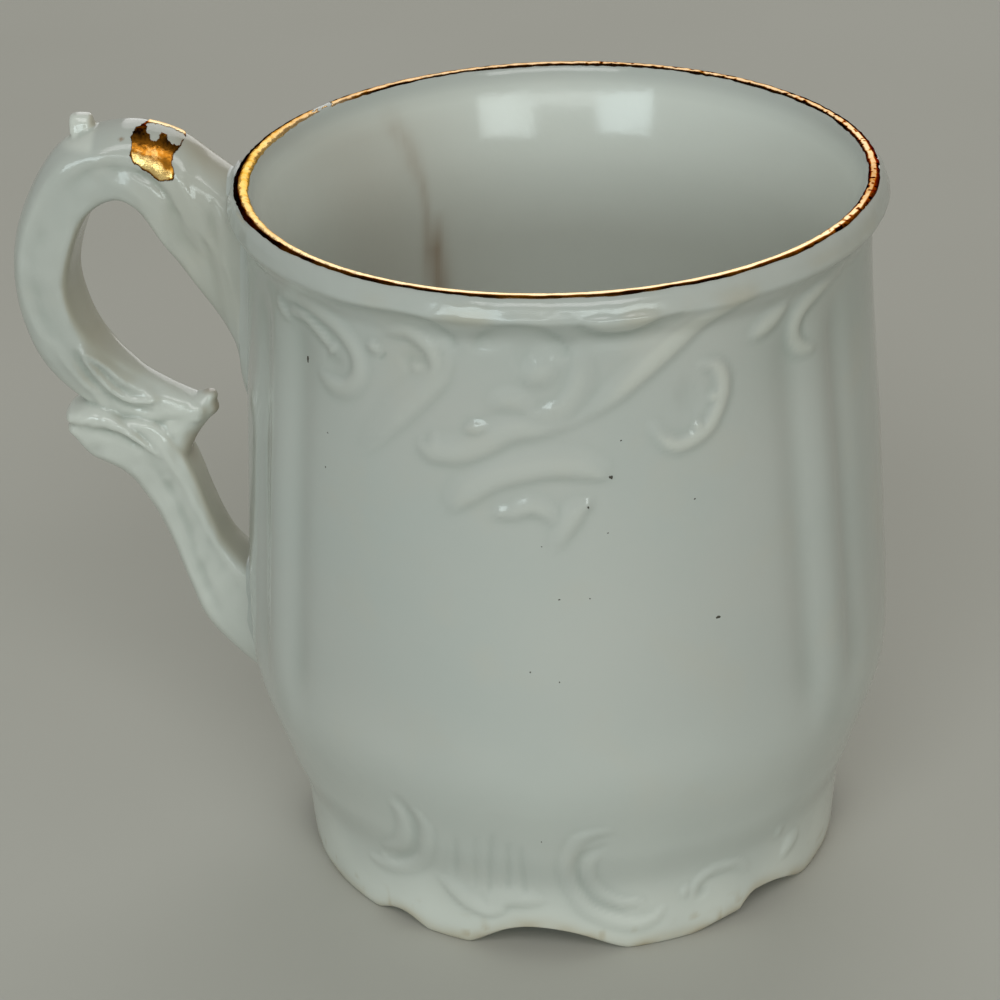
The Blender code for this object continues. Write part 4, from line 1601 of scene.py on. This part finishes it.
@dataclass
class HandleGold:
    """Dab of gold over the roll of the handle, ragged below and rubbed through on top.

    A point of the outline is (angle round the section, place of the edge towards the wall, place of the edge away from
    it), a hole (place, angle, half length, half width in degrees).
    """

    strand: Strand = SCROLL
    start: float = 1.4
    end: float = 2.9
    turns: Point2 = (-84.0, 46.0)
    outline: tuple[tuple[float, float, float], ...] = (
        (-84, 2.3, 2.5), (-76, 2.15, 2.64), (-70, 1.95, 2.7), (-64, 1.83, 2.73), (-58, 1.82, 2.72), (-50, 1.86, 2.7),
        (-40, 1.84, 2.7), (-25, 1.74, 2.66), (-10, 1.68, 2.57), (0, 1.7, 2.5), (8, 1.76, 2.46), (46, 1.82, 2.4),
    )
    lowest: float = -76.0
    holes: tuple[tuple[float, float, float, float], ...] = (
        (2.06, -4.0, 0.35, 9.0), (2.29, -15.0, 0.12, 16.0), (1.88, -13.0, 0.14, 12.0),
    )
    rows: int = 170
    columns: int = 150
    lift: float = 0.05
    thickness: float = 0.06

    def build(self, gold: bpy.types.Material) -> bpy.types.Object:
        """Make the dab: a patch of the strand's own surface, kept where a rounded mask and noise let it.

        Args:
            gold: Finish of the metal.

        Returns:
            The dab.
        """
        place, turn = np.meshgrid(
            np.linspace(self.start, self.end, self.rows), np.linspace(*self.turns, self.columns), indexing="ij"
        )
        base = self.strand.point(place, np.radians(turn))
        row_step, column_step = np.gradient(base, axis=0), np.gradient(base, axis=1)
        points = base + unit(np.cross(column_step, row_step)) * self.lift
        rough = 0.035 * ragged(place * 9, turn / 12, 41) + 0.022 * ragged(place * 22, turn / 5, 42)
        edges = np.array(self.outline)
        right, left = (np.interp(turn, edges[:, 0], edges[:, k]) for k in (1, 2))
        inside = np.minimum(np.minimum(place - right, left - place), (turn - self.lowest) / 60)
        holes = [
            1 - ((place - middle) / length) ** 2 - ((turn - middle_turn) / width) ** 2
            for middle, middle_turn, length, width in self.holes
        ]
        keep = (inside + rough > 0) & (np.max(holes, 0) + rough * 12 < 0)
        burnt = 0.04 + 0.46 * smooth_step(-63, -56, turn) + 0.22 * smooth_step(-44, -26, turn)
        burnt = burnt + 0.2 * smooth_step(2.3, 2.55, place) * smooth_step(-56, -44, turn)
        crinkle = 0.2 * ragged(place * 6, turn / 12, 43) + 0.14 * ragged(place * 26, turn / 3, 44)
        burnt = (burnt + crinkle) * smooth_step(4, 0, turn)
        rubbed = smooth_step(0.08, 0.01, inside + rough) * smooth_step(8, 2, turn)
        burnt = np.clip(np.maximum(burnt, 0.9 * rubbed), 0, 1)
        # The pale share, from the top over to the far side, is a painted highlight
        marks = {"burnt": burnt, "pale": 0.9 * smooth_step(-4, 6, turn)}
        mesh = film_mesh("handle_gold", points, keep, is_ring=False, marks=marks)
        return thicken(add_piece("handle_gold", mesh, gold, ("handle_gilding",)), self.thickness)


# Kiln spots


@dataclass
class KilnSpots:
    """Iron spots in the glaze: low beads on the wall. Each is (angle, height, radius in mm, stretch upwards)."""

    spots: tuple[tuple[float, float, float, float], ...] = (
        (31.6, 34.6, 0.24, 0.8), (-45.5, 55.2, 0.26, 1.4), (13.5, 48.8, 0.16, 1.6), (-40.0, 46.4, 0.11, 0.8),
        (-39.4, 49.6, 0.1, 0.8), (28.0, 45.8, 0.1, 1.0), (12.7, 43.9, 0.08, 1.0), (1.6, 42.9, 0.07, 1.0),
        (4.3, 38.1, 0.1, 1.0), (9.4, 38.1, 0.08, 1.0), (-0.8, 31.4, 0.09, 1.0), (4.0, 30.5, 0.08, 1.0),
        (15.4, 51.9, 0.09, 1.0), (-0.2, 13.6, 0.08, 1.2), (9.5, 46.4, 0.09, 1.3),
    )
    rings: int = 6
    ring_size: int = 20
    bead_height: float = 0.05
    sink: float = 0.02
    wall_radius: float = 27.5

    def build(self, body: CupBody, finish: bpy.types.Material) -> bpy.types.Object:
        """Make the beads: caps whose height falls with the square of the share from the middle, closed underneath.

        Args:
            body: Body that they sit on.
            finish: Their material.

        Returns:
            All the beads as one piece.
        """
        angle, height, radius, stretch = np.array(self.spots).T[..., None, None]
        share = np.linspace(1, 0.12, self.rings)[None, :, None]
        turn = full_turn(self.ring_size)[None, None]
        wobble = 1 + 0.18 * np.sin(2 * turn + 9 * angle) + 0.1 * np.sin(3 * turn + 5 * height)
        sideways = radius * share * wobble * np.cos(turn)
        upward = radius * share * wobble * np.sin(turn) * stretch
        at_angle = angle + np.degrees(sideways / self.wall_radius)
        at_height = height + upward
        points = body.on_wall(at_angle, at_height)
        lift = self.bead_height * (1 - share**2) - self.sink + 0 * turn
        points = points + round_axis(at_angle, 1.0, 0.0) * lift[..., None]
        size, count = self.ring_size, len(self.spots)
        each = self.rings * size
        start = np.arange(count)[:, None, None] * each
        quads = (grid_quads(self.rings, size, is_ring=True)[None] + start).reshape(-1, 4)
        lower, upper = np.arange(size)[None], np.arange(size)[None] + each - size
        caps = np.concatenate([lower[:, ::-1] + start[:, 0], upper + start[:, 0]])
        mesh = make_mesh("kiln_spots", points.reshape(-1, 3), quads, caps)
        return add_piece("kiln_spots", mesh, finish)


# Studio


@dataclass
class Studio:
    """Pale table, a two-paned window of soft light behind the camera, a dim room and the camera.

    Distances in mm and angles in degrees from the cup's axis, counted from the camera's side. A pane is (left, right,
    low, high, tint), a fill (name, azimuth, elevation, width, height, radiance).
    """

    camera_turn: float = 5.75
    camera_distance: float = 258.93
    camera_height: float = 165.77
    camera_pitch: float = 27.17
    camera_roll: float = 1.495
    camera_pan: float = -1.17
    lens_mm: float = 115.2
    sensor_mm: float = 36.0
    table_mm: float = 6000.0
    aim_height: float = 40.0
    window_distance: float = 1200.0
    window_panes: tuple[tuple[float, float, float, float, str], ...] = (
        (-39.0, -17.2, 5.0, 18.5, "#E4F6F8"), (9.6, 30.0, 5.0, 18.5, "#E8F6F4"), (-17.2, 9.6, 15.2, 18.5, "#E0E8E6"),
    )
    window_radiance: float = 4.75
    fills: tuple[tuple[str, float, float, float, float, float], ...] = (
        ("front_high", 0.0, 45.0, 1200.0, 500.0, 3.1), ("far_wall", 174.0, 30.0, 900.0, 1650.0, 1.3),
    )
    fill_distance: float = 1500.0
    room_left: str = "#A0A5A1"
    room_right: str = "#928A7C"
    room_high: str = "#8A8A84"
    room_strength: float = 1.0

    def spot(self, azimuth: float, level: float, rise: float) -> Vector:
        """Point round the cup.

        Args:
            azimuth: Angle from the camera's side.
            level: Distance from the cup's axis.
            rise: Height over the table.

        Returns:
            The point in metres.
        """
        turn = math.radians(azimuth + self.camera_turn)
        return Vector((AXIS_X + level * math.sin(turn), -level * math.cos(turn), rise)) * MM

    def rotation(self) -> np.ndarray:
        """Camera axes as columns, right, up and back: pitched down, panned, rolled, then turned round the cup.

        Returns:
            A 3 by 3 matrix.
        """
        pitch, roll, pan, turn = np.radians(
            (self.camera_pitch, self.camera_roll, self.camera_pan, self.camera_turn)
        )
        forward = np.array([0, math.cos(pitch), -math.sin(pitch)])
        right = np.array([1.0, 0, 0])
        down = np.array([0, -math.sin(pitch), -math.cos(pitch)])
        forward, right = (
            math.cos(pan) * forward + math.sin(pan) * right, math.cos(pan) * right - math.sin(pan) * forward,
        )
        right, down = (
            math.cos(roll) * right + math.sin(roll) * down, math.cos(roll) * down - math.sin(roll) * right,
        )
        round_cup = np.array(Matrix.Rotation(turn, 3, "Z"))
        return round_cup @ np.stack([right, -down, -forward], 1)

    def add_camera(self) -> None:
        """Set up the camera at the photograph's viewing angle."""
        data = bpy.data.cameras.new("camera")
        data.lens = self.lens_mm
        data.sensor_width = self.sensor_mm
        data.sensor_fit = "HORIZONTAL"
        camera = add_object("camera", data)
        place = Matrix(self.rotation().tolist()).to_4x4()
        place.translation = self.spot(0, self.camera_distance, self.camera_height)
        camera.matrix_world = place
        bpy.context.scene.camera = camera

    def add_lamp(
        self, name: str, place: Vector, target: Vector, size: Point2, radiance: float, colour: str = "#FFFFFF"
    ) -> None:
        """Rectangular lamp of an even radiance.

        Args:
            name: Name of the lamp.
            place: Its middle, in metres.
            target: Point that it faces, in metres.
            size: Its width and height in metres.
            radiance: Radiance of its face, 1 being a white sheet in plain light.
            colour: Its tint.
        """
        data = bpy.data.lights.new(name, "AREA")
        data.shape = "RECTANGLE"
        data.size, data.size_y = size
        data.energy = radiance * math.pi * size[0] * size[1]
        data.color = linear(colour)[:3]
        lamp = add_object(name, data)
        lamp.location = place
        lamp.rotation_euler = (target - place).to_track_quat("-Z", "Y").to_euler()

    def add_lights(self) -> None:
        """The window's panes, dim fills from above it and from the far wall, and the room's own light."""
        middle = self.spot(0, 0, self.aim_height)
        for number, (left, right, low, high, colour) in enumerate(self.window_panes):
            bottom, top = (self.window_distance * math.tan(math.radians(e)) for e in (low, high))
            place = self.spot((left + right) / 2, self.window_distance, self.aim_height + (bottom + top) / 2)
            span = 2 * self.window_distance * math.tan(math.radians((right - left) / 2))
            size = span * MM, (top - bottom) * MM
            self.add_lamp(f"window_{number}", place, middle, size, self.window_radiance, colour)
        for name, azimuth, elevation, width, height, radiance in self.fills:
            rise = math.radians(elevation)
            level, up = self.fill_distance * math.cos(rise), self.fill_distance * math.sin(rise)
            place = self.spot(azimuth, level, self.aim_height + up)
            self.add_lamp(name, place, middle, (width * MM, height * MM), radiance)
        world = bpy.data.worlds.new("room")
        world.use_nodes = True
        tree = world.node_tree
        direction = add_node(tree, "ShaderNodeTexCoord").outputs["Generated"]
        parts = add_node(tree, "ShaderNodeSeparateXYZ", {"Vector": direction}).outputs
        side, up = (
            add_node(tree, "ShaderNodeMapRange", {"Value": part, "From Min": low, "From Max": high}).outputs["Result"]
            for part, low, high in ((parts["X"], -0.8, 0.8), (parts["Z"], 0.1, 0.9))
        )
        colour = paint(tree, self.room_left, (side, self.room_right), (up, self.room_high))
        wire(tree, tree.nodes["Background"], {"Strength": self.room_strength, "Color": colour})
        bpy.context.scene.world = world

    def add_table(self) -> None:
        """Plain pale table under the cup."""
        half = self.table_mm / 2
        corners = np.array([(-half, -half, 0), (half, -half, 0), (half, half, 0), (-half, half, 0)])
        mesh = bpy.data.meshes.new("table")
        mesh.from_pydata(corners * MM, [], [(0, 1, 2, 3)])
        mesh.materials.append(PaleTable().build())
        table = add_object("table", mesh)

    def build(self) -> None:
        """Set up the camera, the light and the table."""
        self.add_camera()
        self.add_lights()
        self.add_table()
        bpy.context.scene.view_settings.view_transform = "Standard"
        LOG.info("studio: camera, %d panes, %d fills, table", len(self.window_panes), len(self.fills))


def main() -> None:
    """Build and dress the cup, then the studio round it."""
    logging.basicConfig(level=logging.INFO, format="%(name)s: %(message)s")
    glaze = PorcelainGlaze().build()
    gold = FiredGold().build()
    body = CupBody()
    body.build(glaze)
    ScrollHandle().build(glaze)
    LutingSlip("upper_slip", "upper_luting_slip", SCROLL, 0.0, 1.2).build(body, glaze)
    LutingSlip("lower_slip", "lower_luting_slip", STEM, 7.0, 5.6).build(body, glaze)
    RimGold().build(body, gold)
    HandleGold().build(gold)
    KilnSpots().build(body, IronSpot().build())
    Studio().build()


if __name__ == "__main__":
    main()
